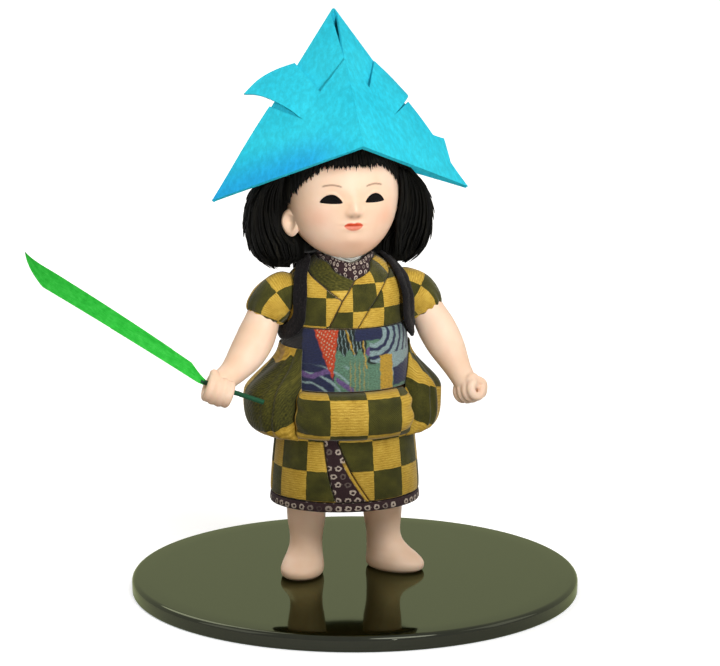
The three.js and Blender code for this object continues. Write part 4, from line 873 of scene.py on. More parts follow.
def panel(name, rail_a, rail_b, rows, to_map, slot="brocade"):
    """The cloth of a panel between two seams, its edges turned down into their grooves.

    Gives the piece, the size to which its cloth is cut and the area of that cloth.
    """
    last = len(rail_a) - 1

    def spots(u, v):
        i = np.clip(np.floor(u).astype(int), 0, last - 1)
        t = (u - i)[..., None]
        first = rail_a[i] * (1 - t) + rail_a[i + 1] * t
        second = rail_b[i] * (1 - t) + rail_b[i + 1] * t
        return first + (second - first) * v[..., None]

    ticks = np.arange(last + 1.0)
    net = spots(*np.meshgrid(ticks, PANEL_SHARES, indexing="ij"))
    net = trunk_points(net[..., 0], net[..., 1])
    across_at = line_lengths(net, 1)
    along_at = line_lengths(net, 0)
    mean_along = along_at.mean()
    along, along_offset = edge_samples([mean_along], last)
    u_mean = along[0] / mean_along * last
    across, across_offset = edge_samples(np.interp(u_mean, ticks, across_at), rows)
    v = across / np.interp(u_mean, ticks, across_at)[:, None]
    inset = np.minimum(along[0], mean_along - along[0])[:, None]
    near = inset / np.interp(v, PANEL_SHARES, along_at) * last
    u = np.where(u_mean[:, None] < last / 2, near, last - near)
    u = np.where(inset > 2 * EDGE_ROUND, u_mean[:, None], u)
    offset = np.minimum(along_offset[:, None], across_offset[None, :])
    from_edge = np.minimum(inset, np.minimum(across, across[:, -1:] - across))
    puff = PANEL_PUFF * (1 - np.exp(-np.maximum(from_edge - EDGE_ROUND, 0) / PUFF_REACH))
    piping = smoothstep(across, PIPING_WIDTH + PIPING_BLUR, PIPING_WIDTH - PIPING_BLUR)
    piping = piping * smoothstep(u / last, PIPING_TOP + 0.1, PIPING_TOP) * (name == PIPED_PANEL)
    spot = spots(u, v)
    points = trunk_points(spot[..., 0], spot[..., 1], offset + puff + PIPING_RISE * piping)
    uv = to_map(spot[..., 0], spot[..., 1], u / last * mean_along, across)
    made = new_object(name, placed(points, FIGURE), grid_faces(*points.shape[:2]), uv, {"piping": piping})
    row, column = (n // 2 for n in points.shape[:2])
    middle = points[row, column]
    normal = np.cross(points[row + 1, column] - middle, points[row, column + 1] - middle)
    outward = trunk_points(*spot[row, column], 1.0) - trunk_points(*spot[row, column], 0.0)
    if normal @ outward > 0:
        made.data.flip_normals()
    solid = made.modifiers.new("thickness", "SOLIDIFY")
    solid.thickness = PANEL_THICKNESS * MM
    solid.offset = -1.0
    solid.use_even_offset = False
    settle(made)
    dress(made, name, "doll", slot)
    cut = (across_at.max() + 2 * TUCK, mean_along + 2 * TUCK)
    return made, cut, (across_at.mean() + 2 * TUCK) * cut[1]


LEFT_CHEST_MAP = around_map(16.6, 31, SASH_TOP - 2.2, 11.8)
RIGHT_CHEST_MAP = around_map(16.6, -26, SASH_TOP + 14.7, 13)
LEFT_COLLAR_MAP = around_map(12.4, -25.5, SASH_TOP - 3.3, 11.8)
RIGHT_COLLAR_MAP = around_map(60, -112, SASH_TOP + 18.2, 24)  # too wide for a check to end on the front
SKIRT_MAP = around_map(13.8, 14, HEM + 5.6)
PANELS = (
    ("collar_left", join_seams(lap_low, lap_high, neck_left), join_seams(breast_left, shoulder_left), 10,
     LEFT_COLLAR_MAP),
    ("collar_right", neck_right, join_seams(breast_right, shoulder_right), 10, RIGHT_COLLAR_MAP),
    ("under_collar", neckline, neck_top_edge, 6, neck_map, "spotted"),
    ("bodice_left", breast_left, chest_side(1), 30, LEFT_CHEST_MAP),
    ("bodice_right", join_seams(lap_low, breast_right), chest_side(-1), 30, RIGHT_CHEST_MAP),
    ("bodice_back", back_bottom, back_top, 24, LEFT_CHEST_MAP),
    ("skirt_left", skirt_lap, skirt_side(1), 40, SKIRT_MAP),
    ("skirt_right", lining_edge, skirt_side(-1), 30, SKIRT_MAP),
    ("skirt_lining", skirt_lap, lining_edge, 34, around_map(RING_STEP, 0, HEM), "spotted"),
    ("skirt_back", skirt_side(1), around_back(skirt_side(-1)), 60, SKIRT_MAP),
)
HEM_COLUMNS = 180
SMALLEST_CUT = 0.01
SMALLEST_SHARE = 0.3


def make_hem_band():
    """The folded band round the hem, from its closed section of [height, offset] corners."""
    high = HEM_BAND_TOP - SEAM / 2
    section = [
        [HEM + 0.1, FIT],
        [HEM + 0.3, FIT + 0.6],
        [HEM + 1, FIT + 0.95],
        [HEM + 2.4, FIT + 0.95],
        [high - 0.5, FIT + 0.8],
        [high, FIT + 0.4],
        [high, -TUCK],
        [high - CLOTH, -TUCK],
        [high - CLOTH, FIT],
        [HEM + CLOTH, FIT],
        [HEM + CLOTH, -HEM_TURN],
        [HEM + 0.1, -HEM_TURN],
    ]
    heights, offsets = np.array(section + section[:1]).T
    degrees = np.linspace(-180, 180, HEM_COLUMNS + 1)[:, None]
    build = Build()
    build.grid(trunk_points(degrees, heights, offsets), around_map(RING_STEP, 4, HEM)(degrees, heights))
    return build.piece("hem_band", "doll", "spotted")


def make_panels():
    hem = make_hem_band()
    for name, *shape in PANELS:
        made, (width, length), area = panel(name, *shape)
        flat = (max(width * MM, SMALLEST_CUT), length * MM)
        share = min(max(area * MM * MM, SMALLEST_SHARE * flat[0] * flat[1]), flat[0] * flat[1])
        extras = [hem] if name == "skirt_back" else []


# Padded folds below the sash

PAD_FILL = 0.7
BLOUSE_SIZE = (96, 56)
BLOUSE_SAG = 2.2
BLOUSE_PEAK = 0.6
BLOUSE_SQUARE = (17.6, -30.6, 6.7)  # side of a check, and where a corner falls
BLOUSE_SQUARENESS = 5
PUFF_SIZE = (72, 48)
PUFF_PEAK = 0.42
PUFF_SQUARENESS = 2.2
PUFF_SQUARE = {-1: (38, 4, -26), 1: (18, -32, 10)}
PAD_ROUNDNESS = 2.4
EDGE_CROWDING = 0.6  # how far a pad's points crowd towards its edges


def cloth_under(height):
    share = np.clip((height - SASH_BOTTOM) / SASH_ROUNDING, 0, 1)
    return CLOTH_FACE + (SASH_FACE - CLOTH_FACE) * share


def crowded(count):
    k = shares(count + 1)
    return k + (((1 - np.cos(np.pi * k)) / 2) - k) * EDGE_CROWDING


def rounded(share, power):
    return np.maximum(1 - np.abs(2 * share - 1) ** power, 0) ** (1 / power)


def pad(name, turn, level, bulge, peak, squareness, square, wrinkle, size, taper=0, lean=0, sag=0):
    """A stuffed fold of cloth over a stretch of the torso, flat where it lies on it."""
    (start, end), (low, high) = turn, level
    u, v = np.meshgrid(crowded(size[0]), crowded(size[1]), indexing="ij")
    heights = low + (high - low) * v
    degrees = (start + lean * v * v) + (end - start - lean * v * v) * u
    drawn_in = 1 - taper * smoothstep(v, peak, 1)
    shape = rounded(u, squareness) * rounded(v ** (math.log(0.5) / math.log(peak)), PAD_ROUNDNESS)
    folds = wrinkle(u, v) * np.minimum(1, shape * 1.6)
    lift = PAD_EDGE + bulge * drawn_in * shape + folds * (0.35 + 0.65 * drawn_in)
    base = cloth_under(heights) + PAD_CLEARANCE
    outer = trunk_points(degrees, heights, base + np.maximum(lift, PAD_EDGE))
    outer[..., 2] -= sag * shape * bump_curve(v - 0.15, 0.3)
    girth = run_along(outer, 0)
    girth -= girth[size[0] // 2]
    side, first, lowest = square
    uv = np.stack([(girth - first) / side, (run_along(outer, 1) - lowest) / side], axis=-1)
    build = Build()
    build.shell(outer, trunk_points(degrees, heights, base), uv, uv)
    build.piece(name, "doll", "brocade", PAD_FILL)


def blouse_folds(u, v):
    """Soft gathers at both ends of the front fold and a shallow sag along it."""
    ends = bump_curve(u - 0.03, 0.1) + bump_curve(u - 0.97, 0.1)
    gathers = 0.7 * ends * np.sin(2 * np.pi * (v * 2.6 + 0.35 * np.sin(9 * u)))
    return gathers - 0.45 * bump_curve(v - 0.9, 0.12) + 0.25 * np.sin(7 * u + 2) * bump_curve(v - 0.35, 0.3)


def puff_folds(u, v):
    """Folds that fan out from the top of a side puff, and two pleats along its front edge."""
    fan = np.sin(2 * np.pi * (3.2 * u + 0.35 * v + 0.12 * np.sin(8 * v)))
    pleats = np.sin(2 * np.pi * (u * 9.5 + 0.4 * v)) * bump_curve(u - 0.1, 0.14)
    cross = np.sin(2 * np.pi * (1.4 * v + 0.8 * u + 0.3)) * smoothstep(v, 0.15, 0.6)
    return 1.1 * fan * smoothstep(v, 0.1, 0.75) + 0.9 * pleats + 0.5 * cross


def make_pads():
    low = SASH_BOTTOM - BLOUSE_LENGTH
    half = BLOUSE_HALF_ANGLE - PAD_GAP / 2
    for name, middle in (("blouse_front", 0), ("blouse_back", 180)):
        pad(
            name, (middle - half, middle + half), (low, SASH_BOTTOM - FIT), BLOUSE_BULGE, BLOUSE_PEAK,
            BLOUSE_SQUARENESS, BLOUSE_SQUARE, blouse_folds, BLOUSE_SIZE, sag=BLOUSE_SAG,
        )
    low = low - PUFF_HANG
    half = BLOUSE_HALF_ANGLE + PAD_GAP / 2
    for name, side in SIDES.items():
        turn = (side * half, side * (180 - half))
        pad(
            f"{name}_hip_puff", turn, (low, low + PUFF_LENGTH), PUFF_BULGE[side], PUFF_PEAK,
            PUFF_SQUARENESS, PUFF_SQUARE[side], puff_folds, PUFF_SIZE, taper=1, lean=PUFF_LEAN[side],
        )


# Sash and bow

NAVY = srgb(34, 42, 80)[:3]
TEAL = srgb(100, 142, 120)[:3]
VERMILION = srgb(212, 76, 42)[:3]
DARK_GREEN = srgb(20, 34, 28)[:3]
PURPLE = srgb(112, 88, 146)[:3]
YELLOW = srgb(206, 166, 58)[:3]
PALE = srgb(150, 178, 184)[:3]
CREAM = srgb(214, 204, 178)[:3]
UNDYED = srgb(14, 15, 18)[:3]
DESIGN_REPEAT = 92
SWIRL = (8.4, 27.0)
SWIRL_INSIDE = 4.5
SPOT = (6.4, 18.7)


def soft(distance, edge=0.25):
    return smoothstep(distance, -edge, edge)


def sash_dyes(across, up):
    """Dyes of a patchwork brocade: water, a wedge, reeds, bars and a swirl, once round the waist."""
    x = (across + DESIGN_REPEAT / 2) % DESIGN_REPEAT - DESIGN_REPEAT / 2
    x = x + 0.16 * np.sin(up * 1.7 + across * 0.9) + 0.1 * np.sin(across * 2.3 - up * 1.1)
    y = up + 0.2 * np.sin(across * 1.1 + up * 0.8)
    dyes = np.broadcast_to(np.array(TEAL), x.shape + (3,)).copy()

    def lay(mask, colour):
        share = np.clip(mask, 0, 1)[..., None]
        dyes[...] = dyes * (1 - share) + np.array(colour) * share

    lay(soft(-10.5 - x), NAVY)
    ripples = np.sin(np.hypot(x + 24, (y + 6) * 1.2) * 1.15)
    lay(soft(-4 - x) * soft(12 - y, 1.5) * soft(ripples - 0.8, 0.15), PALE)
    lay(soft(1.2 - np.abs(y - 8.5 - 1.2 * np.sin(x * 0.35))) * soft(-12 - x), PURPLE)
    lay(soft(1.4 - np.abs(y - 5 + 0.75 * (x + 8))) * soft(x + 9.5) * soft(-1.5 - x), PURPLE)
    lay(0.4 * soft(0.3 - np.abs(x % 2.1 - 1.05), 0.15) * soft(14 - y, 3) * soft(x + 4) * soft(5 - x), YELLOW)
    reeds = soft(y - 18.5 - 1.5 * np.sin(x * 1.3)) * soft(x + 9.5) * soft(4.5 - x)
    lay(reeds, DARK_GREEN)
    lay(reeds * soft(0.16 - np.abs((x + 0.12 * y) % 1.7 - 0.85), 0.1), PALE)
    lay(soft(0.35 - np.abs(x + 5 - (28.6 - y) * 0.33)) * soft(y - 18), YELLOW)
    lay(soft(0.3 - np.abs(x - 2.8 - (24 - y) * 0.12)) * soft(y - 11) * soft(25 - y), YELLOW)
    wedge = np.minimum(x + 12 + 0.42 * (y - 8), 0.102 * (y - 8) - 11 - x)
    lay(soft(wedge), VERMILION)
    flecks = np.sin(x * 3.1 + y * 0.7) * np.sin(y * 2.3 - x)
    lay(soft(wedge - 0.8) * soft(flecks - 0.6, 0.1), CREAM)
    lay(soft(2.0 - np.hypot((x - 7.5) * 0.7, y - 14.5)), DARK_GREEN)
    lay(soft(2.2 - np.hypot(x - SPOT[0], y - SPOT[1])), PURPLE)
    lay(soft(y - 24) * soft(x + 1) * soft(14 - x), NAVY)
    round_swirl = np.hypot((x - SWIRL[0]) * 0.9, y - SWIRL[1]) - SWIRL_INSIDE
    swirl = soft(x - 6) * soft(y - 14 + 0.2 * (x - 6)) * soft(round_swirl)
    lay(swirl, NAVY)
    lay(swirl * soft(np.sin(round_swirl * 1.6) + 0.25, 0.35), PALE)
    lay(soft(x - 18.5) * soft(17 - y) * soft(y - 6), PALE)
    lay(soft(x - 19.2) * soft(9.5 + (x - 19) * 0.25 - y) * soft(y - 1 - (x - 19) * 0.1), NAVY)
    lay(soft(3.7 - np.abs(x - 15)) * soft(16.5 - y), YELLOW)
    lay(soft(-27.2 - x), UNDYED)
    return dyes


SASH_ROWS = 74
SASH_COLUMNS = 540
SASH_TURN = 2  # from the front to the middle of the design
SASH_FILL = 0.4
SASH_EDGE = FIT + CLOTH * 0.6


def make_sash():
    low, high = SASH_BOTTOM, SASH_TOP - SEAM / 2
    heights = np.concatenate([[low], np.linspace(low + 0.1, high - 0.1, SASH_ROWS), [high]])
    bulge = (1 - np.abs((heights - (low + high) / 2) / (high - low) * 2) ** 4) ** 0.5
    face = SASH_EDGE + (SASH_FACE - FIT - CLOTH * 0.6) * np.nan_to_num(bulge)
    face[0] = face[-1] = -TUCK
    inside = [[high - CLOTH, -TUCK], [high - CLOTH, FIT], [low + CLOTH, FIT], [low + CLOTH, -TUCK]]
    section = np.vstack([np.column_stack([heights, face]), inside])
    loop = np.vstack([section, section[:1]])
    turn, up = np.meshgrid(np.linspace(-180, 180, SASH_COLUMNS + 1), loop[:, 0], indexing="ij")
    offset = np.broadcast_to(loop[:, 1], turn.shape)
    crease = 0.14 * np.sin(np.radians(turn) * 5 + up * 0.55) * np.sin(up * 0.42 + 0.7)
    points = trunk_points(turn, up, np.where(offset > FIT + 0.1, offset + crease, offset))
    across = np.radians(turn - SASH_TURN) * TORSO_RADIUS
    build = Build()
    build.grid(points, np.stack([across, up], axis=-1))
    build.piece("sash", "doll", "sash", SASH_FILL, dye=sash_dyes(across, up - SASH_BOTTOM))


BOW_HALF_WIDTH = 21
BOW_HALF_HEIGHT = 10
BOW_THICKNESS = 5.5
BOW_HEIGHT = SASH_TOP - 11
BOW_CENTRE = WAIST_HALF[1] + SASH_FACE + BOW_THICKNESS
BOW_KNOT_WIDTH = 8
BOW_FILL = 0.6
BOW_LOOP = ((0, 0.4, 0.5), (0.22, 0.5, 0.58), (0.6, 1, 1), (0.92, 0.95, 0.7), (1, 0.66, 0.28))
BOW_KNOT = ((0.6, 0.74, 0.98), (1, 0.6, 0.78))


def bow_part(name, half_shape, half_width, thickness, pleats):
    """A padded part of the bow, from knots [place along it, height, depth], with pleats at its pinch."""
    both = [(-x, h, d) for x, h, d in half_shape[::-1] if x] + list(half_shape)
    x = np.linspace(-1, 1, 97)[:, None]
    sized = interpolate([(x, h * BOW_HALF_HEIGHT, d * thickness) for x, h, d in both], x[:, 0])
    angle = circle(73)
    fold = 1 + pleats * bump_curve(x, 0.55) * np.sin(angle * 8 + x * 2)
    height, depth = (np.maximum(sized[:, n:n + 1], 0.02) * fold for n in range(2))
    points = spots_of(x * half_width, BOW_CENTRE + depth * np.cos(angle), BOW_HEIGHT + height * np.sin(angle))
    build = Build()
    build.tube(points, points[..., [0, 2]])
    spots = np.vstack(build.points)
    build.piece(name, "doll", "sash", BOW_FILL, dye=sash_dyes(spots[:, 0], spots[:, 2] - SASH_BOTTOM))


def make_bow():
    bow_part("sash_bow", BOW_LOOP, BOW_HALF_WIDTH, BOW_THICKNESS / 2, 0.08)
    bow_part("sash_knot", BOW_KNOT, BOW_KNOT_WIDTH / 2, BOW_THICKNESS, 0.03)


# Sleeve cord

CORD_PATH = [
    (180, NECK_TOP - 21, 0),
    (145, NECK_TOP - 14.5, 0.5),
    (112, NECK_TOP - 8.4, 0.9),
    (84, NECK_TOP - 7.4, 0.9),
    (60, NECK_TOP - 12.5, 0.6),
    (54, NECK_TOP - 21, 0.6),
    (56, NECK_TOP - 31, 0.6),
    (72, SASH_TOP - 3, 0.7),
    (104, SASH_TOP - 3, 0.7),
    (140, SASH_TOP + 4, 1.2),
]
CORD_STEPS = 420
CORD_SPREAD = 1.12  # the band flattens where it is drawn tight
LEFT_CORD_SPREAD = 0.3  # and more so in front of the left arm, where it lies further out
LEFT_CORD_SHIFT = np.array([2.8, -1.2, 0])
LEFT_CORD_SPOTS = [3, 5, 6, 8]  # where the shift begins, is whole and ends again
CORD_FILL = 0.2
CRINKLE = 0.07
HALF_PROFILE = [(1, 0), (1.06, 0.35), (1, 0.68), (0.8, 0.9), (0.5, 1), (0.2, 0.9), (0, 0.8)]


def make_cord():
    """One crepe band in a figure of eight, over both shoulders and crossed behind."""
    crossing = CORD_THICKNESS + 2 * FIT
    mirrored = [(360 - d, h, crossing if k == 0 else lift) for k, (d, h, lift) in enumerate(CORD_PATH)]
    degrees, heights, lifts = np.array(CORD_PATH + mirrored).T
    base = trunk_points(degrees, heights, CLOTH_FACE + FIT + lifts)
    outward = trunk_points(degrees, heights, 1.0) - trunk_points(degrees, heights, 0.0)
    path = smooth_path(base, CORD_STEPS + 1, closed=True)
    step = np.arange(CORD_STEPS + 1)
    which = np.array([np.argmin(np.linalg.norm(path - spot, axis=1)) for spot in base])
    order = np.argsort(which)
    normal = sampled(step, which[order], outward[order], period=CORD_STEPS)
    wrapped = np.vstack([path[-2:-1], path, path[1:2]])
    tangent = unit(wrapped[2:] - wrapped[:-2])
    width = unit(np.cross(tangent, unit(normal)))
    normal = np.cross(width, tangent)
    in_front = np.interp(step, which[LEFT_CORD_SPOTS], [0, 1, 1, 0])[:, None]
    path = path + in_front * LEFT_CORD_SHIFT
    half = CORD_WIDTH / 2 * (CORD_SPREAD + LEFT_CORD_SPREAD * in_front)
    under = [(-1, 0), (-0.5, 0), (0, 0), (0.5, 0)]
    profile = np.array(under + HALF_PROFILE + [(-x, y) for x, y in HALF_PROFILE[-2::-1]])
    wobble = RANDOM.normal(0, CRINKLE, (CORD_STEPS, len(profile) - 1))
    wobble = np.hstack([wobble, wobble[:, :1]])
    wobble = np.vstack([wobble, wobble[:1]])
    wave = 1 + 0.06 * np.sin(step * 2 * math.pi * 17 / CORD_STEPS)
    sideways = profile[:, 0] * half * wave[:, None]
    upwards = profile[:, 1] * CORD_THICKNESS + np.where(profile[:, 1] > 0.3, wobble, 0)
    build = Build()
    build.grid(path[:, None] + width[:, None] * sideways[..., None] + normal[:, None] * upwards[..., None])
    build.piece("sleeve_cord", "doll", "crepe", CORD_FILL)


# Legs, arms and sleeves

LEG_SECTIONS = [
    (0, 6.4, 13.2, 8.2),
    (1.2, 6.6, 14.6, 9.3),
    (4, 6.4, 14.8, 9.7),
    (7, 4.9, 13, 9.1),
    (10, 2.6, 10.6, 8.2),
    (13.5, 0.8, 8.8, 7.6),
    (18, 0, 8.2, 7.7),
    (26, -0.4, 9.1, 8.9),
    (HEM, -0.4, 9.4, 9.2),
    (LEG_TOP, -0.4, 9.4, 9.2),
]
SOLE_ROUND = 1.2


def make_legs():
    heights = np.concatenate([np.linspace(0, SOLE_ROUND, 7), np.linspace(1.5, LEG_TOP, 90)])[:, None]
    middle, length, width = np.moveaxis(interpolate(LEG_SECTIONS, heights), -1, 0)
    angle = circle(73)
    forward = middle + length * np.cos(angle)
    sideways = width * np.sin(angle) * (1 + TOE_WIDTH * np.cos(angle))
    for name, side in SIDES.items():
        turn = math.radians(TOE_OUT[side])
        across = side * LEG_SPREAD + forward * math.sin(turn) + sideways * math.cos(turn)
        build = Build()
        build.tube(spots_of(across, -forward * math.cos(turn) + sideways * math.sin(turn), heights))
        build.piece(f"{name}_leg", "doll", "shell_white")


def sword_axis():
    rise, swing = math.radians(SWORD_RISE), math.radians(SWORD_SWING)
    return np.array([-math.cos(rise) * math.cos(swing), math.cos(rise) * math.sin(swing), math.sin(rise)])


ARM_PATHS = {
    -1: [
        (-5.5, 0, -2.5), (-8.4, -0.8, -12.5), (-15, -4.2, -26.6),
        (-24.2, -10.6, -36.4), (-33, -16.2, -41.9),
    ],
    1: [
        (5.5, 0, -2.5), (9, -1.6, -12.8), (13.9, -6, -23.4),
        (18.4, -10.6, -32.8), (22, -15.4, -41.2), (25, -19, -47.4),
    ],
}
ARM_RADII = [
    (0, ARM_RADIUS - 3.4),
    (0.1, ARM_RADIUS - 1.8),
    (0.25, ARM_RADIUS - 0.9),
    (0.42, ARM_RADIUS),
    (0.6, ARM_RADIUS - 0.5),
    (0.85, WRIST_RADIUS),
    (1, WRIST_RADIUS - 0.6),
]
ARM_STEPS = 60
GRIPS = {-1: np.array(SWORD_GRIP), 1: np.array([SHOULDER_X + 25.6, -20.2, SHOULDER_HEIGHT - 49.2])}
GRIP_AXES = {-1: sword_axis(), 1: unit(np.array([0.5, -0.82, 0.28]))}
FINGERS = 4
FINGER_RADIUS = 2.2
FINGER_STEP = 3.1
FINGER_SAG = {-1: 2.2, 1: 0.3}  # how far the fingers' loop hangs off the grip
FINGER_BEND = {-1: 5.4, 1: 4.0}
OUTER_FINGER_BEND = 0.5  # by how much the first and the last finger curl in more
FINGER_CURL = np.radians(np.linspace(5, 292, 26))[:, None]
FINGER_TAPER = 0.18
FINGER_END = 0.6  # of the finger's radius
PALM_RADIUS = 4.3
PALM_BACK = 0.62  # of the fist's radius
PALM_REACH = 0.46  # of its length
THUMB_RADII = [(0, 2.3), (0.35, 2.2), (0.7, 2.1), (0.92, 1.7), (1, 0.9)]
THUMB_STEPS = 24
# Spots of the thumb: out and back, as shares of the fist, back in millimetres, and along the grip
THUMB_LINE = ((0, 0.8, 0, 0.45), (0.78, 0, 2.2, 0.66), (0.84, 0, -1.4, 0.56), (0.66, -0.72, 0, 0.42))
HAND_VOXEL = 0.42
POLISH_STEPS = 9


def shoulder_point(side):
    return np.array([side * SHOULDER_X, 0, SHOULDER_HEIGHT])


def arm_line(side):
    return smooth_path(np.array(ARM_PATHS[side]) + shoulder_point(side), ARM_STEPS)


def add_hand(build, side, wrist):
    """A hand closed round its grip: four curled fingers, a palm and a thumb."""
    grip, axis = GRIPS[side], GRIP_AXES[side]
    back = unit(wrist - grip - axis * ((wrist - grip) @ axis))
    thumb_side = np.cross(back, axis)
    for finger in range(FINGERS):
        reach = (finger - (FINGERS - 1) / 2) * FINGER_STEP
        bend = FINGER_BEND[side] - (OUTER_FINGER_BEND if finger in (0, FINGERS - 1) else 0)
        loop = bend * (back * np.cos(FINGER_CURL) - thumb_side * np.sin(FINGER_CURL))
        thickness = FINGER_RADIUS * (1 - FINGER_TAPER * shares(len(loop)) ** 3)
        thickness[[0, -1]] *= FINGER_END
        finger_line = grip - back * FINGER_SAG[side] + axis * reach + loop
        build.tube(rings_along(finger_line, thickness, 14, tuple(axis)))
    palm = np.linspace(-1, 1, 15)
    palm_line = grip + back * FIST_RADIUS * PALM_BACK + axis * (palm * FIST_LENGTH * PALM_REACH)[:, None]
    palm_radii = PALM_RADIUS * np.sqrt(np.maximum(1 - palm**4, 0.04))
    build.tube(rings_along(palm_line, palm_radii, 18, tuple(back)))
    line = []
    for out, fists, near, along in THUMB_LINE:
        inward = back * (FIST_RADIUS * fists + near)
        line.append(grip + thumb_side * FIST_RADIUS * out + inward + axis * FIST_LENGTH / 2 * along)
    radii = interpolate(THUMB_RADII, shares(THUMB_STEPS))[:, 0]
    build.tube(rings_along(smooth_path(line, THUMB_STEPS), radii, 14, tuple(axis)))


def make_arms():
    """Smooth cast arms, each with its closed hand."""
    radii = interpolate(ARM_RADII, shares(ARM_STEPS))[:, 0]
    for name, side in SIDES.items():
        path = arm_line(side)
        build = Build()
        build.tube(rings_along(path, radii, 40))
        add_hand(build, side, path[-1])
        made = build.make(f"{name}_arm", "doll")
        remesh = made.modifiers.new("cast", "REMESH")
        remesh.mode = "VOXEL"
        remesh.voxel_size = HAND_VOXEL * MM
        polish = made.modifiers.new("polish", "SMOOTH")
        polish.factor = 0.5
        polish.iterations = POLISH_STEPS
        settle(made)
        smooth_shaded(made.data)
        dress(made, f"{name}_arm", "doll", "shell_white")


SLEEVE_LINE = [(-8, 0, -1.4), (1, 0, -5.2), (6, -0.2, -10), (8.6, -0.8, -15.2)]
SLEEVE_RADII = [
    (0, SLEEVE_RADIUS - 4),
    (0.22, SLEEVE_RADIUS - 1),
    (0.5, SLEEVE_RADIUS),
    (0.8, SLEEVE_RADIUS - 0.5),
    (0.95, SLEEVE_RADIUS - 2),
    (1, SLEEVE_RADIUS - 3.7),
]
SLEEVE_STEPS = 57
SLEEVE_SIDES = 96
SLEEVE_TUCKS = ((0.97, -0.5), (0.9, 0.2), (0.86, 4.0))
SLEEVE_CHECKS = (6, 2.2)  # round the sleeve and along it
SLEEVE_FILL = 0.6
GATHER_DEPTH = 0.4
CREASE_DEPTH = 0.35
SLEEVE_CLEARANCE = 0.25


def make_sleeves():
    """Gathered cap sleeves that swell over the top of each arm and are drawn in round it."""
    share = shares(SLEEVE_STEPS)
    angle = circle(SLEEVE_SIDES + 1)
    gathers = np.sin(angle * 13 + 1.2 * np.sin(angle * 3)) * bump_curve(share - 1, 0.22)[:, None]
    creases = np.sin(angle * 5 + share[:, None] * 7) * bump_curve(share - 0.45, 0.3)[:, None]
    radii = interpolate(SLEEVE_RADII, share) + GATHER_DEPTH * gathers + CREASE_DEPTH * creases
    for name, side in SIDES.items():
        path = smooth_path(np.array(SLEEVE_LINE) * [side, 1, 1] + shoulder_point(side), SLEEVE_STEPS)
        rings = rings_along(path, radii, SLEEVE_SIDES)
        arm = arm_line(side)
        nearest = arm[np.argmin(np.linalg.norm(arm - path[-1], axis=1))]
        tucked = [
            nearest + (rings[-1] - path[-1]) * scale + (path[-2] - path[-1]) * back
            for scale, back in SLEEVE_TUCKS
        ]
        rings = off_trunk(np.concatenate([rings, tucked]), CLOTH_FACE + SLEEVE_CLEARANCE)
        run = np.linspace(0, SLEEVE_CHECKS[1], len(rings))[:, None]
        build = Build()
        build.grid(rings, spots_of(angle / (2 * math.pi) * SLEEVE_CHECKS[0], run))
        build.piece(f"{name}_sleeve", "doll", "brocade", SLEEVE_FILL)


# Head, in its own frame

CHEEK_SWELL = 0.035
CHEEK_LATITUDE = -24
CHEEK_SPAN = 20
MOUTH_DROP = 12.3  # mouth below the eyes
MOUTH_HALF = 4.4
BROW_RISE = 6.0
EYE_HALF = 4.9
EYE_DEPTH = 0.6
FACE_COLUMNS = 22
FACE_SHIFT = -1.2  # the features sit a little to the figure's right
CHIN_DROP = 2.8
LID_CORNER = -1.3
UPPER_LID = 3.7
LOWER_LID = 0.55
SEAT_RADIUS = 14
SEAT_HEIGHT = FIT + 0.1
NECK_STEPS = 12
NECK_STUB = NECK_RADIUS - 1.4


def lid_lines(a):
    """Heights of the upper and lower lid along an eye, from -1 to 1."""
    open_share = np.maximum(1 - a * a, 0)
    return LID_CORNER + UPPER_LID * open_share**0.8, LID_CORNER - LOWER_LID * open_share**0.4


def head_level(latitude):
    """How far the head reaches out at a latitude, and how far its cheeks swell there."""
    lat = np.radians(latitude)
    level = np.cos(lat) ** np.where(lat < 0, CHEEK_FULLNESS, 1)
    return level, CHEEK_SWELL * bump_curve(latitude - CHEEK_LATITUDE, CHEEK_SPAN)


# Features of the face: how far each stands out, its place and span from the middle, and from the eyes up
FEATURES = (
    (0.9, 0, 2.4, -2.2, 4.2),  # bridge of the nose
    (0.7, 2.6, 1.3, -NOSE_DROP - 0.9, 1.4),  # its wings
    (0.75, 0, 4.2, -MOUTH_DROP + 1.0, 1.2),  # upper lip
    (0.75, 0, 4.2, -MOUTH_DROP - 1.5, 1.4),  # lower lip
    (-0.45, 0, 4.4, -MOUTH_DROP - 0.1, 0.5),  # parting of the lips
    (0.7, 0, 5.5, -MOUTH_DROP - 7.0, 3.2),  # chin
    (-0.8, EYE_SPREAD - 1.5, 5.5, 0.6, 3.4),  # eye sockets
)


def bumps(x, z, table):
    """The sum of soft bumps (height, place and span across, place and span up), alike on both sides."""
    total = 0
    for height, out, width, up, length in table:
        total = total + height * bump_curve(np.abs(x) - out, width) * bump_curve(z - up, length)
    return total


def features(x, z):
    """How far the features of the face stand out, at a place from its middle and from the eyes."""
    nose = NOSE_LENGTH * bump_curve(x, 2.2 + 0.08 * np.maximum(-z, 0)) * bump_curve(z + NOSE_DROP, 2.7)
    along = np.clip((np.abs(x) - EYE_SPREAD) / EYE_HALF, -1.1, 1.1)
    upper, lower = lid_lines(np.clip(along, -1, 1))
    folds = 0.5 * bump_curve(z - upper - 0.5, 0.6) + 0.25 * bump_curve(z - lower + 0.5, 0.6)
    return nose + bumps(x, z, FEATURES) + bump_curve(along, 0.95) * folds


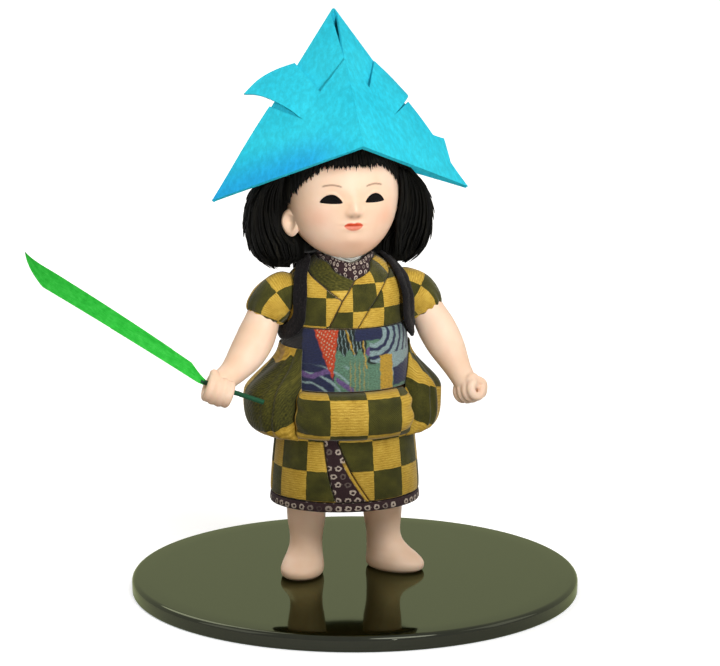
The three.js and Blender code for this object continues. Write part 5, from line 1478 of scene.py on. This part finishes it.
def head_points(longitude, latitude, offset=0.0):
    """Points of the head. Longitude counts from the face towards the figure's left."""
    lon, lat = np.radians(longitude), np.radians(latitude)
    level, swell = head_level(latitude)
    direction = np.stack([np.sin(lon) * level, -np.cos(lon) * level, np.sin(lat)], axis=-1)
    facing = np.maximum(0, np.cos(lon))
    spot = direction * spots_of(HEAD_HALF[0] * (1 + swell * facing), *HEAD_HALF[1:]) + [0, 0, HEAD_CENTRE]
    below = np.where(lat < 0, np.sin(lat) ** 2, 0)
    spot[..., 2] -= CHIN_DROP * below * facing
    face = features(spot[..., 0] - FACE_SHIFT, spot[..., 2] - EYE_HEIGHT)
    spot = spot + direction * np.asarray(offset)[..., None]
    spot[..., 1] -= np.where(direction[..., 1] < 0, face, 0) + CHIN_FORWARD * below
    return spot


def latitude_at(height):
    return np.degrees(np.arcsin(np.clip((height - HEAD_CENTRE) / HEAD_HALF[2], -1, 1)))


def face_points(x, z, offset=0.0):
    """Points of the face at a place across it and a height."""
    latitude = latitude_at(z)
    level, swell = head_level(latitude)
    longitude = np.degrees(np.arcsin(np.clip(x / (HEAD_HALF[0] * (1 + swell) * level), -1, 1)))
    return head_points(longitude, latitude, np.broadcast_to(offset, np.shape(x)))


# Painted spots, in the same way: painted shade under the nose, and pink on the cheeks
# Painted shade under the nose: a dark spot at each nostril and a soft band below the tip
NOSE_SHADE = ((0.5, 1.7, 0.8, -NOSE_DROP - 2.4, 0.7), (0.25, 0, 3.2, -NOSE_DROP - 2.8, 1.1))
CHEEK_BLUSH = ((0.5, 15.5, 5.5, -9, 5.5),)


def face_paint(x, z):
    """Weights of the lips, the brows with other dark lines and painted shade under the nose, and the cheeks'
    pink with painted shade along the jaw.
    """
    mouth = x / MOUTH_HALF
    height = z + MOUTH_DROP
    bow = 1.6 * (1 - np.abs(mouth) ** 4) - 0.25 * bump_curve(mouth, 0.16)
    under = -2.3 * np.maximum(1 - mouth**2, 0) ** 0.7
    lip = smoothstep(np.minimum(bow - height, height - under), -0.25, 0.25) * (np.abs(mouth) < 1)
    lip = lip * (0.74 + 0.26 * smoothstep(height, -0.4, 0.3))
    share = (np.abs(x) - EYE_SPREAD + 0.4) / 4.6
    line = BROW_RISE + 1.0 * np.maximum(1 - share**2, 0) - 0.3
    lines_and_nose_shade = smoothstep(0.36 - np.abs(z - line), -0.25, 0.2) * smoothstep(1 - np.abs(share), 0, 0.25)
    lines_and_nose_shade = lines_and_nose_shade + 0.6 * bump_curve(height - 0.1, 0.3) * smoothstep(1 - np.abs(mouth), 0, 0.1)
    # Painted shade under the nose, in the same brown as the brows
    lines_and_nose_shade = lines_and_nose_shade + bumps(x, z, NOSE_SHADE)
    # Pink on the cheeks, and a painted shade along the bottom of the face at the jaw
    blush_and_jaw_shade = bumps(x, z, CHEEK_BLUSH) + 0.3 * bump_curve(z + 23, 5)
    return {"lip": lip, "lines_and_nose_shade": 0.75 * np.minimum(lines_and_nose_shade, 1), "blush_and_jaw_shade": blush_and_jaw_shade}


def make_head():
    turn = np.linspace(0, 360, 341) - 180
    longitude = turn - FACE_COLUMNS * np.sin(np.radians(turn))
    lat, lon = np.meshgrid(np.linspace(-86, 86, 221), longitude, indexing="ij")
    points = head_points(lon, lat, np.zeros(lon.shape))
    front = points[..., 1] < 0
    paint = face_paint(points[..., 0] - FACE_SHIFT, points[..., 2] - EYE_HEIGHT)
    inside_seat = np.hypot(points[..., 0], points[..., 1]) < SEAT_RADIUS
    points[..., 2] = np.where(inside_seat, np.maximum(points[..., 2], SEAT_HEIGHT), points[..., 2])
    build = Build()
    build.grid(points)
    build.fan(points[0])
    build.fan(points[-1])
    for side in (-1, 1):
        build.grid(ear(side))
    neck = spots_of(0, 0, np.linspace(SEAT_HEIGHT, HEAD_CENTRE / 2, NECK_STEPS))
    build.tube(rings_along(neck, np.full(NECK_STEPS, NECK_STUB), 48))
    bare = np.zeros(build.count - front.size)
    fields = {key: np.concatenate([(values * front).ravel(), bare]) for key, values in paint.items()}
    build.piece("head", "head", "shell_white", fields=fields)
    for name, side in SIDES.items():
        make_eye(f"{name}_eye", side)


EAR_HALF = (2.8, 5.2, 6.6)
EAR_SINK = 1.8
EAR_FORWARD = 2.5
EAR_DROP = 13.5
EAR_FLARE = {-1: 48, 1: 0}  # the ear on the figure's left lies flat under the hair


def ear(side):
    """A small ear with a rolled rim round its hollow, its back edge standing out."""
    share = shares(22)[:, None]
    angle = circle(49)
    round_off = np.sqrt(np.maximum(1 - share**2, 0))
    rim = bump_curve(share - 0.72, 0.2) * (0.6 + 0.4 * np.cos(angle - 2.6))
    out = EAR_HALF[0] * (round_off * 0.75 + 0.38 * rim - 0.6 * bump_curve(share, 0.4))
    narrow = 1 - 0.18 * np.maximum(-np.sin(angle), 0)
    back = EAR_HALF[1] * share * np.cos(angle) * narrow
    flare = math.radians(EAR_FLARE[side])
    return spots_of(
        side * (HEAD_HALF[0] - EAR_SINK + out * math.cos(flare) + back * math.sin(flare)),
        -EAR_FORWARD + back * math.cos(flare) - out * math.sin(flare),
        EYE_HEIGHT - EAR_DROP + EAR_HALF[2] * share * np.sin(angle),
    )


def make_eye(name, side):
    """A dark glass eye that fills the almond between the lids."""
    a, b = np.meshgrid(np.linspace(-1, 1, 49), shares(25), indexing="ij")
    upper, lower = lid_lines(a)
    z = EYE_HEIGHT + lower + (upper - lower) * b
    x = side * (EYE_SPREAD + EYE_HALF * a) + FACE_SHIFT
    dome = 0.55 * np.sqrt(np.maximum(1 - a * a, 0)) * (1 - (2 * b - 1) ** 4)
    build = Build()
    build.shell(face_points(x, z, 0.1 + dome), face_points(x, z, -EYE_DEPTH), edges=SIDE_EDGES)
    build.piece(name, "head", "eye_glass")


# Helmet, in the head's frame


def on_helmet(x, y, rise):
    turned = Matrix.Rotation(math.radians(HELMET_TURN), 3, "Z") @ Vector((x, y, HELMET_TIP_HEIGHT + rise))
    return np.array(turned)


APEX = on_helmet(0, HELMET_APEX_BACK, HELMET_RISE)
BRIM_FRONT = on_helmet(0, -HELMET_FRONT, HELMET_BRIM_RISE)
BRIM_BACK = on_helmet(0, HELMET_BACK, HELMET_BACK_RISE)


def helmet_side(side, brim):
    """Points of one side of the helmet, given as shares down its ridge and out to its tip, and a lift."""
    down = brim - APEX
    out = on_helmet(side * HELMET_HALF_WIDTH, 0, 0) - brim
    normal = unit(np.cross(down, out))
    if normal[1] * brim[1] < 0:
        normal = -normal

    def at(along, across, lift=0.0):
        along, across, lift = np.broadcast_arrays(along, across, lift)
        return APEX + along[..., None] * down + across[..., None] * out + lift[..., None] * normal

    at.normal = normal
    return at


HELMET_SIDES = [helmet_side(side, brim) for side in (-1, 1) for brim in (BRIM_FRONT, BRIM_BACK)]


def inside_helmet(points, clearance):
    """Draw points in towards the head's axis until they lie under the helmet's paper."""
    drawn = points.copy()
    for at in HELMET_SIDES:
        reach = (APEX - at.normal * (HELMET_PAPER + clearance)) @ at.normal
        over = drawn @ at.normal - reach
        level = at.normal[:2] / (at.normal[:2] @ at.normal[:2])
        drawn[..., :2] -= np.maximum(over, 0)[..., None] * level
    return drawn


def add_sheet(build, outer, thickness, inward, uv=None):
    """A sheet of paper as a closed thin shell, from a grid of its outer points."""
    normal = np.cross(np.gradient(outer, axis=0), np.gradient(outer, axis=1))
    mean = normal.reshape(-1, 3).mean(axis=0)
    lengths = np.linalg.norm(normal, axis=-1, keepdims=True)
    normal = np.where(lengths > 1e-6, normal / np.maximum(lengths, 1e-6), mean / np.linalg.norm(mean))
    if mean @ inward < 0:
        normal = -normal
    build.shell(outer, outer + normal * thickness, uv)


def curve_through(spots, count):
    return interpolate(np.column_stack([shares(len(spots)), spots]), shares(count))


FLAP_TOP = 0.385  # where the turned-up front begins, as a share of the way down the ridge
HORNS = {
    -1: {
        "root": [(0.553, 0.194), (0.69, 0.329)],
        "upper": [(0.291, 0.31), (0.299, 0.428), (0.332, 0.546), (0.403, 0.655)],
        "lower": [(0.69, 0.329), (0.599, 0.398), (0.494, 0.502), (0.438, 0.578), (0.403, 0.655)],
    },
    1: {
        "root": [(0.543, 0.174), (0.68, 0.356)],
        "upper": [(0.311, 0.284), (0.387, 0.411), (0.48, 0.538)],
        "lower": [(0.68, 0.356), (0.533, 0.496), (0.48, 0.538)],
    },
}
FRONT_EDGE = {
    -1: [(0, FLAP_TOP), (0.194, 0.553), (0.329, 0.69), (0.519, 0.525), (1, 1)],
    1: [
        (0, FLAP_TOP), (0.174, 0.543), (0.356, 0.68), (0.53, 0.535), (0.645, 0.65),
        (0.715, 0.72), (0.76, 0.717), (0.835, 0.708), (0.86, 0.87), (1, 1),
    ],
}
FRONT_LIFT = 0.9
FRONT_BOW = 1.9
FRONT_COLUMNS = 90
MITRE = 0.007
SLIT = 0.03
HORN_SIZE = (25, 41)
HORN_TIP_LIFT = {-1: HORN_LIFT, 1: 0.9}
HORN_BEND = 1.3
ROOT_OVERLAP = 0.02
NOTCH = (0.47, 0.16)
NOTCH_SPAN = 0.11
NOTCH_DEPTH = 1.2
SIDE_BOW = 0.5
PAPER_TIP = 0.012  # where the sides begin, as a share of the way down the ridge
SHARP_FOLD = math.radians(40)


def front_lift(along, across):
    """How far the turned-up front stands off the helmet's side."""
    level = np.sin(np.pi * np.clip((along - FLAP_TOP) / (1 - FLAP_TOP), 0, 1))
    return FRONT_LIFT + FRONT_BOW * np.sin(np.pi * np.clip(across, 0, 1)) * level


def patch_between(low, high, first, last):
    """A grid of spots between four edge lines that meet at their ends."""
    s = shares(len(low))[:, None, None]
    t = shares(len(first))[None, :, None]
    ruled = low[:, None] * (1 - t) + high[:, None] * t + first[None] * (1 - s) + last[None] * s
    corners = (low[0] * (1 - t) + high[0] * t) * (1 - s) + (low[-1] * (1 - t) + high[-1] * t) * s
    return ruled - corners


def helmet_horn(build, side, at):
    """One horn, folded out of the turned-up front and bent up towards its tip."""
    across, out = HORN_SIZE
    lines = HORNS[side]
    root = even_points(lines["root"], across) + [ROOT_OVERLAP, -ROOT_OVERLAP]
    lower = curve_through(lines["lower"], out)
    lower[0] = root[-1]
    notch = even_points([root[0], lines["upper"][0]], out)
    horn = patch_between(root, curve_through(lines["upper"], across), notch, lower)
    s = shares(across)[:, None]
    t = shares(out)[None]
    lift = front_lift(root[:, :1], root[:, 1:]) * (1 - t) + (1 + HORN_TIP_LIFT[side] * s) * t
    lift = lift - 0.2 + HORN_BEND * np.minimum(1, t * 5) * (0.35 + np.sin(np.pi * t) * s)
    add_sheet(build, at(horn[..., 0], horn[..., 1], lift), HELMET_FLAP, -at.normal)


def make_helmet():
    """A square of paper folded into a helmet: four sides, two horns and the turned-up front."""
    build = Build()
    for side in (-1, 1):
        front = helmet_side(side, BRIM_FRONT)
        back = helmet_side(side, BRIM_BACK)
        along, t = np.meshgrid(np.linspace(PAPER_TIP, 1, 81), shares(41), indexing="ij")
        bow = SIDE_BOW * np.sin(np.pi * t) * np.sin(np.pi * along) - SIDE_BOW * along * (1 - along)
        add_sheet(build, back(along, along * t, bow), HELMET_PAPER, -back.normal)
        slit = SLIT * np.maximum(0, 1 - along / FLAP_TOP) * np.minimum(1, along * 22)
        across = slit + (along - slit) * t
        hollow = bump_curve(along - NOTCH[0], NOTCH_SPAN) * bump_curve(across - NOTCH[1], NOTCH_SPAN)
        add_sheet(build, front(along, across, bow - NOTCH_DEPTH * hollow), HELMET_PAPER, -front.normal)
        helmet_horn(build, side, front)
        edge_across, edge_down = np.array(FRONT_EDGE[side]).T
        columns = np.unique(np.concatenate([np.linspace(-MITRE, 1, FRONT_COLUMNS), edge_across]))
        top = np.interp(columns, edge_across, edge_down)
        along = top + (1 - top) * shares(41)[:, None]
        across = np.broadcast_to(columns, along.shape)
        lifted = front(along, across, front_lift(along, across))
        add_sheet(build, lifted, HELMET_FLAP, -front.normal, np.stack([-side * across, along], axis=-1))
    made = build.piece("paper_helmet", "helmet", "paper")
    made.data.set_sharp_from_angle(angle=SHARP_FOLD)


# Hair, in the head's frame

CROWN_HEIGHT = 61.5
# Heights, each with how far in from its full width and depth the hair lies there
HAIR_INSETS = (
    (-9, 13, 10), (-5.5, 7.5, 6), (-1, 3.2, 2.6), (6, 0.6, 0.4), (14, 0, 0), (21, 0.8, 0.4),
    (28, 3.6, 1.6), (36, 10.4, 4), (44, 13.6, 5.4), (52, 20.4, 11), (58, 30, 21), (CROWN_HEIGHT, 39, 31),
)
HAIR_SHAPE = np.array([(height, *(HAIR_HALF - inset)) for height, *inset in HAIR_INSETS])
HAIR_CLEARANCE = 1.8
HAIR_END = -9.2
MASS_SHARE = 0.96  # of the hair's outside, for the mass under the locks
STRAND_SIDES = 5
UNEVEN = (-0.6, 0.6)  # shift of a lock in its row, as a share of the spacing
LOCK_SHARE = (0.95, 1.0)  # how far out a lock lies
# Rows of locks: how many, where they begin and the span that they take up, as angles
BACK_ROW = (760, -0.12, math.pi + 0.24)
FRINGE_ROW = (220, math.pi + 0.1, math.pi - 0.2)
TEMPLE_ROW = (230, -97, 194)  # in degrees
SIDE_LOCKS = 90
TUFTS = 560
CHEEK_LOCKS = 90
# Ranges of the locks' widths and thicknesses
BACK_SIZES = ((0.8, 1.7), (0.6, 1.1))
SIDE_SIZES = ((0.8, 1.6), (0.8, 1.3))
TUFT_SIZES = ((0.8, 1.5), (0.6, 1.0))
CHEEK_SIZES = ((0.9, 1.7), (0.8, 1.2))
FRINGE_SIZES = ((0.8, 1.4), 0.8)
TEMPLE_SIZES = ((0.8, 1.5), (0.7, 1.0))


def hair_points(angle, heights, share=1.0, loose=0.0):
    """Points of the hair's outside, at an angle from the figure's left round its back and a height."""
    half = interpolate(HAIR_SHAPE, heights)
    spot = spots_of(
        (half[..., 0] + loose) * share * np.cos(angle),
        HAIR_BACK + (half[..., 1] + loose) * share * np.sin(angle),
        heights + 0 * angle,
    )
    return inside_helmet(spot, HAIR_CLEARANCE)


def skull_points(angle, heights):
    """Points just off the head, at the same angles and heights, for the inside of the hair."""
    sine = np.clip((heights - HEAD_CENTRE) / (HEAD_HALF[2] + 1), -1, 1)
    level = np.sqrt(np.maximum(1 - sine**2, 0)) ** np.where(sine < 0, CHEEK_FULLNESS, 1)
    nape = np.where(heights < HEAD_CENTRE, 18 + 7 * smoothstep(-heights, 3.5, 7), 0)
    radius = np.maximum(level * (HEAD_HALF[0] + 1), nape)
    return spots_of(radius * np.cos(angle), radius * np.sin(angle), heights + 0 * angle)


def front_angle(heights):
    """Angle at which the hair's side locks end in front."""
    depth = interpolate(HAIR_SHAPE, heights)[..., 1]
    return np.arcsin(np.clip((HAIR_FRONT - HAIR_BACK) / depth, -1, 1))


def hairline(angle):
    """Height at which the fringe ends, lower towards the temples."""
    aside = np.abs((angle - 1.5 * math.pi) / (0.5 * math.pi))
    return HAIRLINE - 0.6 - 8 * smoothstep(aside, 0.35, 1.0) ** 1.5


def temple_line(longitude):
    """Height at which the short hair round the face ends."""
    return HAIRLINE - 0.6 - 21 * smoothstep(np.abs(longitude), 24, 96) ** 1.15


def hair_shell(angles, heights):
    """A mass of hair as a closed shell between its outside and the head."""
    build = Build()
    build.shell(hair_points(angles, heights, MASS_SHARE), skull_points(angles, heights))
    return build


def add_strand(build, path, *sizes):
    """A lock of hair: a flattened tube that comes to a point.

    Its width and thickness are each a size or a range to draw one from.
    """
    width, thickness = (RANDOM.uniform(*size) if isinstance(size, tuple) else size for size in sizes)
    tangent = unit(np.gradient(path, axis=0))
    outward = unit(path * [1, 1, 0] + [0, -HAIR_BACK, 0])
    across = unit(np.cross(tangent, outward))
    outward = np.cross(across, tangent)
    share = shares(len(path))
    taper = np.minimum(1, (1.02 - share) * 5) * np.minimum(1, 0.35 + share * 5)
    angle = circle(STRAND_SIDES + 1)
    sideways = across[:, None] * (np.cos(angle) * width / 2)[:, None] * taper[:, None, None]
    upwards = outward[:, None] * (np.sin(angle) * thickness / 2)[:, None] * taper[:, None, None]
    build.tube(path[:, None] + sideways + upwards)


def row_place(k, count, first, span):
    """Where a lock of a row begins, a little off an even spacing."""
    return first + span * (k + RANDOM.uniform(*UNEVEN)) / (count - 1)


def back_lock(k):
    """A lock of the back, its end a little aside and now and then loose."""
    angle = row_place(k, *BACK_ROW)
    end = HAIR_END + abs(RANDOM.normal(0, 2.8))
    level = np.linspace(CROWN_HEIGHT - RANDOM.uniform(0, 3), end, 24)
    turn = shares(len(level)) ** 2
    spread = np.maximum(angle + RANDOM.normal(0, 0.045) * turn, front_angle(level))
    spread = np.minimum(spread, math.pi - front_angle(level))
    loose = RANDOM.uniform(0, 1.6) * turn**3 * RANDOM.integers(0, 2)
    return hair_points(spread, level, RANDOM.uniform(*LOCK_SHARE), loose)


def side_lock(side):
    """A lock of the cut front edge, between the cheek and the hair's outside."""
    out = RANDOM.uniform(0.0, 1.0)
    end = HAIR_END + 1 + 7.5 * out**2.6 + abs(RANDOM.normal(0, 2.2))
    level = np.linspace(40 - 8 * out, end, 22)
    edge = front_angle(level)
    turned = edge if side > 0 else math.pi - edge
    near, far = skull_points(turned, level), hair_points(turned, level, 0.99)
    path = near + (far - near) * (0.1 + 0.9 * out)
    sway = RANDOM.uniform(-0.4, 2.4)
    path[:, 1] = HAIR_FRONT + sway + RANDOM.normal(0, 0.8) * shares(len(level)) ** 2
    if side < 0:
        path[:, 1] += 4 * (1 - out) * bump_curve(level - EYE_HEIGHT + EAR_DROP, 9)
    return path


def tuft():
    """A short lock that stands off the outside of the hair."""
    share = shares(9)
    top = RANDOM.uniform(-2, 34)
    level = np.maximum(top - np.linspace(0, RANDOM.uniform(7, 13), len(share)), HAIR_END)
    turn = RANDOM.uniform(-0.1, math.pi + 0.1) + RANDOM.normal(0, 0.07) * share
    path = hair_points(turn, level, 1.0, RANDOM.uniform(0.3, 1.9) * share**1.5)
    path[:, 1] = np.maximum(path[:, 1], HAIR_FRONT - 0.6)
    return path


def cheek_lock():
    """A lock that lies on the cheek on the figure's left."""
    longitude = RANDOM.uniform(63, 92)
    level = np.linspace(38, RANDOM.uniform(-5, 2), 20)
    off_skin = np.full(len(level), RANDOM.uniform(1.0, 4.2))
    path = head_points(longitude + 0 * level, latitude_at(np.maximum(level, 15)), off_skin)
    path[:, 2] = level
    path[:, 1] += 3.5 * smoothstep(15 - level, 0, 18)
    return path


def make_hair():
    """A bob of fine locks over a solid mass, rounded in at its ragged ends."""
    heights = np.linspace(HAIR_END + 1.2, CROWN_HEIGHT, 66)[:, None]
    start = front_angle(heights) + 0.1
    angles = start + (math.pi - 2 * start) * shares(121)
    mass = hair_shell(angles, np.broadcast_to(heights, angles.shape))
    for k in range(BACK_ROW[0]):
        add_strand(mass, back_lock(k), *BACK_SIZES)
    for side in (-1, 1):
        for _ in range(SIDE_LOCKS):
            add_strand(mass, side_lock(side), *SIDE_SIZES)
    for _ in range(TUFTS):
        add_strand(mass, tuft(), *TUFT_SIZES)
    for _ in range(CHEEK_LOCKS):
        add_strand(mass, cheek_lock(), *CHEEK_SIZES)
    mass.piece("hair", "head", "hair")


def fringe_lock(k):
    angle = row_place(k, *FRINGE_ROW)
    end = hairline(np.array(angle)) + RANDOM.normal(0, 0.8)
    level = np.linspace(CROWN_HEIGHT - RANDOM.uniform(0, 2), end, 16)
    turn = angle + RANDOM.normal(0, 0.03) * shares(len(level)) ** 2
    return hair_points(turn, level, RANDOM.uniform(*LOCK_SHARE))


def temple_lock(k):
    longitude = row_place(k, *TEMPLE_ROW)
    end = temple_line(longitude) + RANDOM.normal(0, 0.7)
    level = np.linspace(end + RANDOM.uniform(9, 13), end, 14)
    drift = longitude + RANDOM.normal(0, 2) * shares(len(level)) ** 2
    return head_points(drift, latitude_at(level), np.linspace(1.6, 0.6, len(level)))


def make_fringe():
    """Short hair under the helmet's brim, combed down over the forehead and the temples."""
    angle = np.linspace(math.pi + 0.14, 2 * math.pi - 0.14, 81)
    low = hairline(angle) + 1.6
    heights = low + (CROWN_HEIGHT - low) * shares(26)[:, None]
    mass = hair_shell(np.broadcast_to(angle, heights.shape), heights)
    for k in range(FRINGE_ROW[0]):
        add_strand(mass, fringe_lock(k), *FRINGE_SIZES)
    for k in range(TEMPLE_ROW[0]):
        add_strand(mass, temple_lock(k), *TEMPLE_SIZES)
    mass.piece("fringe", "head", "hair")


# Iris leaf sword, in its own frame

LEAF_ROWS = 120
LEAF_COLUMNS = 15
LEAF_PARTS = ((0, 45, 19, -0.5), (30, LEAF_ROWS, 12, 0.3))  # first and last row, slant of the cut, level
LEAF_HALF = 0.55  # of the leaf's thickness, for each of its two parts
TAPE_PITCH = 3.2
TAPE_STEP = 0.16


def bezier(start, control, end, count):
    t = shares(count)[:, None]
    return (1 - t) ** 2 * start + 2 * t * (1 - t) * control + t * t * end


def leaf_spot(x, up):
    """A spot of the leaf's flat shape, given along it and up from its rising middle line."""
    return np.array([x, (x - LEAF_START) * LEAF_BEND + up])


def leaf_edges():
    """The lower and the upper edge of the leaf, as evenly numbered spots."""
    end = LEAF_START + LEAF_LENGTH
    base = np.array([LEAF_START, 0.0])
    tip = leaf_spot(end, 2.6)
    neck, upper_bend = leaf_spot(LEAF_START + 8.6, 4.4), leaf_spot(end - 14, 2.2)
    heel, lower_bend = base + [3, -1], leaf_spot(end - 13, -6.6)
    lower = [
        bezier(base + [0, -1.2], base + [1.5, -1.1], heel, 6)[:-1],
        bezier(heel, leaf_spot(end - 55, -3.6), lower_bend, 54)[:-1],
        bezier(lower_bend, leaf_spot(end - 3, -3.2), tip, 21),
    ]
    upper = [
        bezier(base + [0, 1.4], base + [4, 3.2], neck, 10)[:-1],
        bezier(neck, leaf_spot(end - 50, 4.2), upper_bend, 50)[:-1],
        bezier(upper_bend, leaf_spot(end - 4, 1.2), tip, 21),
    ]
    lines = [np.vstack(lower), np.vstack(upper)]
    return [sampled(shares(LEAF_ROWS + 1), shares(len(line)), line) for line in lines]


def make_sword():
    """A leaf of two overlapping parts on a stem that is wound with tape."""
    lower, upper = leaf_edges()
    t = shares(LEAF_COLUMNS)
    flat = lower[:, None] + (upper - lower)[:, None] * t[:, None]
    build = Build()
    for part, (first, last, slant, level) in enumerate(LEAF_PARTS):
        index = np.arange(first, last + 1)[:, None] + np.zeros(LEAF_COLUMNS)
        from_whole_end = last - index if part else index - first
        index = np.clip(index - from_whole_end / (last - first) * slant * (t - 0.5), 0, LEAF_ROWS)
        low = np.floor(index).astype(int)
        high = np.minimum(low + 1, LEAF_ROWS)
        which = np.arange(LEAF_COLUMNS) + np.zeros(index.shape, int)
        spread = flat[low, which] + (flat[high, which] - flat[low, which]) * (index - low)[..., None]
        camber = 0.5 * (1 - (2 * t - 1) ** 2) + 0.7 * np.sin(index / LEAF_ROWS * 5.2) * 0.6
        front = spots_of(spread[..., 0], -level - camber * 0.5, spread[..., 1])
        uv = spots_of(spread[..., 0] / 10, t)
        build.shell(front, front + [0, LEAF_THICKNESS * LEAF_HALF, 0], uv, uv)
    made = build.piece("sword_leaf", "sword", "leaf")
    made.data.set_sharp_from_angle(angle=SHARP_FOLD)
    along = np.linspace(-STEM_BEHIND_GRIP, STEM_AHEAD_OF_GRIP, 120)
    angle = circle(25)
    wrap = (along[:, None] / TAPE_PITCH + angle / (2 * math.pi)) % 1
    radii = STEM_RADIUS + TAPE_STEP * wrap - 0.1
    stem = Build()
    stem.tube(rings_along(spots_of(along, 0, 0), radii, 24, (0.0, 0.0, 1.0)), spots_of(angle, along[:, None]))
    stem.piece("sword_stem", "sword", "stem")


# Stand

STAND_RINGS = (STAND_RADIUS - 12, STAND_RADIUS / 2, 6)


def make_stand():
    """The board's profile of corners (radius, height), turned round its middle."""
    turns = np.radians(np.linspace(0, 90, 9))
    small = STAND_EDGE / 2
    bottom = [(radius, 0) for radius in STAND_RINGS[:0:-1]]
    under = np.column_stack([STAND_RADIUS - small + small * np.sin(turns), small - small * np.cos(turns)])
    rim = np.array([STAND_RADIUS - STAND_EDGE, STAND_THICKNESS - STAND_EDGE])
    over = rim + STAND_EDGE * np.column_stack([np.cos(turns), np.sin(turns)])
    top = [(radius, STAND_THICKNESS) for radius in STAND_RINGS]
    radius, height = np.vstack([bottom, under, over, top]).T[..., None]
    angle = circle(193)
    build = Build()
    build.tube(spots_of(radius * np.cos(angle), radius * np.sin(angle), height))
    build.piece("stand_board", "stand", "lacquer")


def finish_frame_nodes():
    """Give the pieces inside, which stay as they are, their own finishes."""
    finishes = {"torso_core": "wood_paste", "neck_peg": "wood"}
    for name in SIDES:
        finishes[f"{name}_leg_dowel"] = "wood"
        finishes[f"{name}_arm_peg"] = "steel"
        finishes[f"{name}_foot_pin"] = "steel"
    for name, slot in finishes.items():
        node = bpy.data.objects[name]
        node.data.materials.clear()
        node.data.materials.append(MATERIALS[slot])


# Camera, floor and light

CAMERA_PLACE = (-0.3303, -1.5655, 0.46)
CAMERA_TILT = 78.1
CAMERA_SWING = -12
CAMERA_LENS = 175.8
CAMERA_SENSOR = 36
CAMERA_REACH = 20
FIGURE_MIDDLE = (0, 0, 0.13)
HEAD_MIDDLE = (-0.02, 0, 0.185)
LAMP_RADIUS = 0.05
DAYLIGHT = (1.0, 0.99, 0.97)
# Name, kind, place, target, width or angle, power and colour
LIGHTS = (
    ("sky", "SUN", (0.35, -1.05, 1.35), FIGURE_MIDDLE, 28, 1.28, DAYLIGHT),
    ("back", "SUN", (-0.4, 1.0, 1.3), FIGURE_MIDDLE, 30, 0.8, DAYLIGHT),
    ("right", "AREA", (1.3, -0.3, 0.9), FIGURE_MIDDLE, 0.9, 3.4, DAYLIGHT),
    ("left", "AREA", (-1.3, -0.2, 0.9), FIGURE_MIDDLE, 0.9, 3.4, DAYLIGHT),
    ("lamp", "SPOT", (0.2, -1.6, 0.2), HEAD_MIDDLE, 12.5, 82.0, (1.0, 0.98, 0.98)),
)
FLOOR_REACH = 4.0
FLOOR_BOUNCE = srgb(110, 97, 72)
FLOOR_LIGHT = srgb(240, 246, 255)
FLOOR_GLOW = 0.5
ROOM_COLOUR = (1.0, 0.84, 0.6, 1.0)
ROOM_STRENGTH = 0.26
WHITE = (1.0, 1.0, 1.0, 1.0)


def shown_rays(tree):
    """One for the rays that show the background: to the camera, off a gloss or through glass."""
    rays = tree.node("ShaderNodeLightPath").outputs
    seen = tree.math("MAXIMUM", rays["Is Camera Ray"], rays["Is Glossy Ray"])
    return tree.math("MAXIMUM", seen, rays["Is Transmission Ray"])


def make_camera():
    data = bpy.data.cameras.new("camera")
    data.lens = CAMERA_LENS
    data.sensor_width = CAMERA_SENSOR
    data.clip_end = CAMERA_REACH
    camera = bpy.data.objects.new("camera", data)
    camera.location = CAMERA_PLACE
    camera.rotation_euler = (math.radians(CAMERA_TILT), 0, math.radians(CAMERA_SWING))
    bpy.context.scene.collection.objects.link(camera)
    bpy.context.scene.camera = camera


def make_floor():
    corners = np.array([(-1, -1, 0), (1, -1, 0), (1, 1, 0), (-1, 1, 0)]) * FLOOR_REACH
    floor = new_object("floor", corners, [[0, 1, 2, 3]])
    graph = Graph("floor", Specular_IOR_Level=0.1, Roughness=0.8, Emission_Color=FLOOR_LIGHT)
    seen = graph.ramp(graph.noise(graph.place(), 3.0), (0.3, 250, 250, 249), (0.7, 254, 254, 253))
    shown = shown_rays(graph)
    graph.shade("Emission Strength", shown * FLOOR_GLOW)
    floor.data.materials.append(graph.finish(graph.mix(shown, FLOOR_BOUNCE, seen)))


def make_lights():
    for name, kind, place, target, size, power, colour in LIGHTS:
        data = bpy.data.lights.new(name, kind)
        if kind == "SUN":
            data.angle = math.radians(size)
        elif kind == "SPOT":
            data.spot_size = math.radians(size)
            data.spot_blend = 1.0
            data.shadow_soft_size = LAMP_RADIUS
        else:
            data.size = size
        data.energy = power
        data.color = colour
        light = bpy.data.objects.new(name, data)
        light.location = place
        aim = Vector(target) - Vector(place)
        light.rotation_euler = aim.to_track_quat("-Z", "Y").to_euler()
        bpy.context.scene.collection.objects.link(light)


def make_room():
    """Warm light from all round, behind a white backdrop."""
    world = bpy.data.worlds.new("studio")
    bpy.context.scene.world = world
    tree = Tree(world)
    room = tree.node("ShaderNodeBackground", {"Color": ROOM_COLOUR, "Strength": ROOM_STRENGTH})
    backdrop = tree.node("ShaderNodeBackground", {"Color": WHITE, "Strength": 1.0})
    inputs = {0: shown_rays(tree), 1: room.outputs["Background"], 2: backdrop.outputs["Background"]}
    mixed = tree.node("ShaderNodeMixShader", inputs).outputs["Shader"]
    tree.feed(tree.nodes["World Output"].inputs["Surface"], mixed)
    bpy.context.scene.view_settings.view_transform = "Standard"


make_camera()
make_floor()
make_lights()
make_room()
make_stand()
make_legs()
make_panels()
make_pads()
make_sash()
make_bow()
make_cord()
make_arms()
make_sleeves()
make_head()
make_helmet()
make_hair()
make_fringe()
make_sword()
finish_frame_nodes()
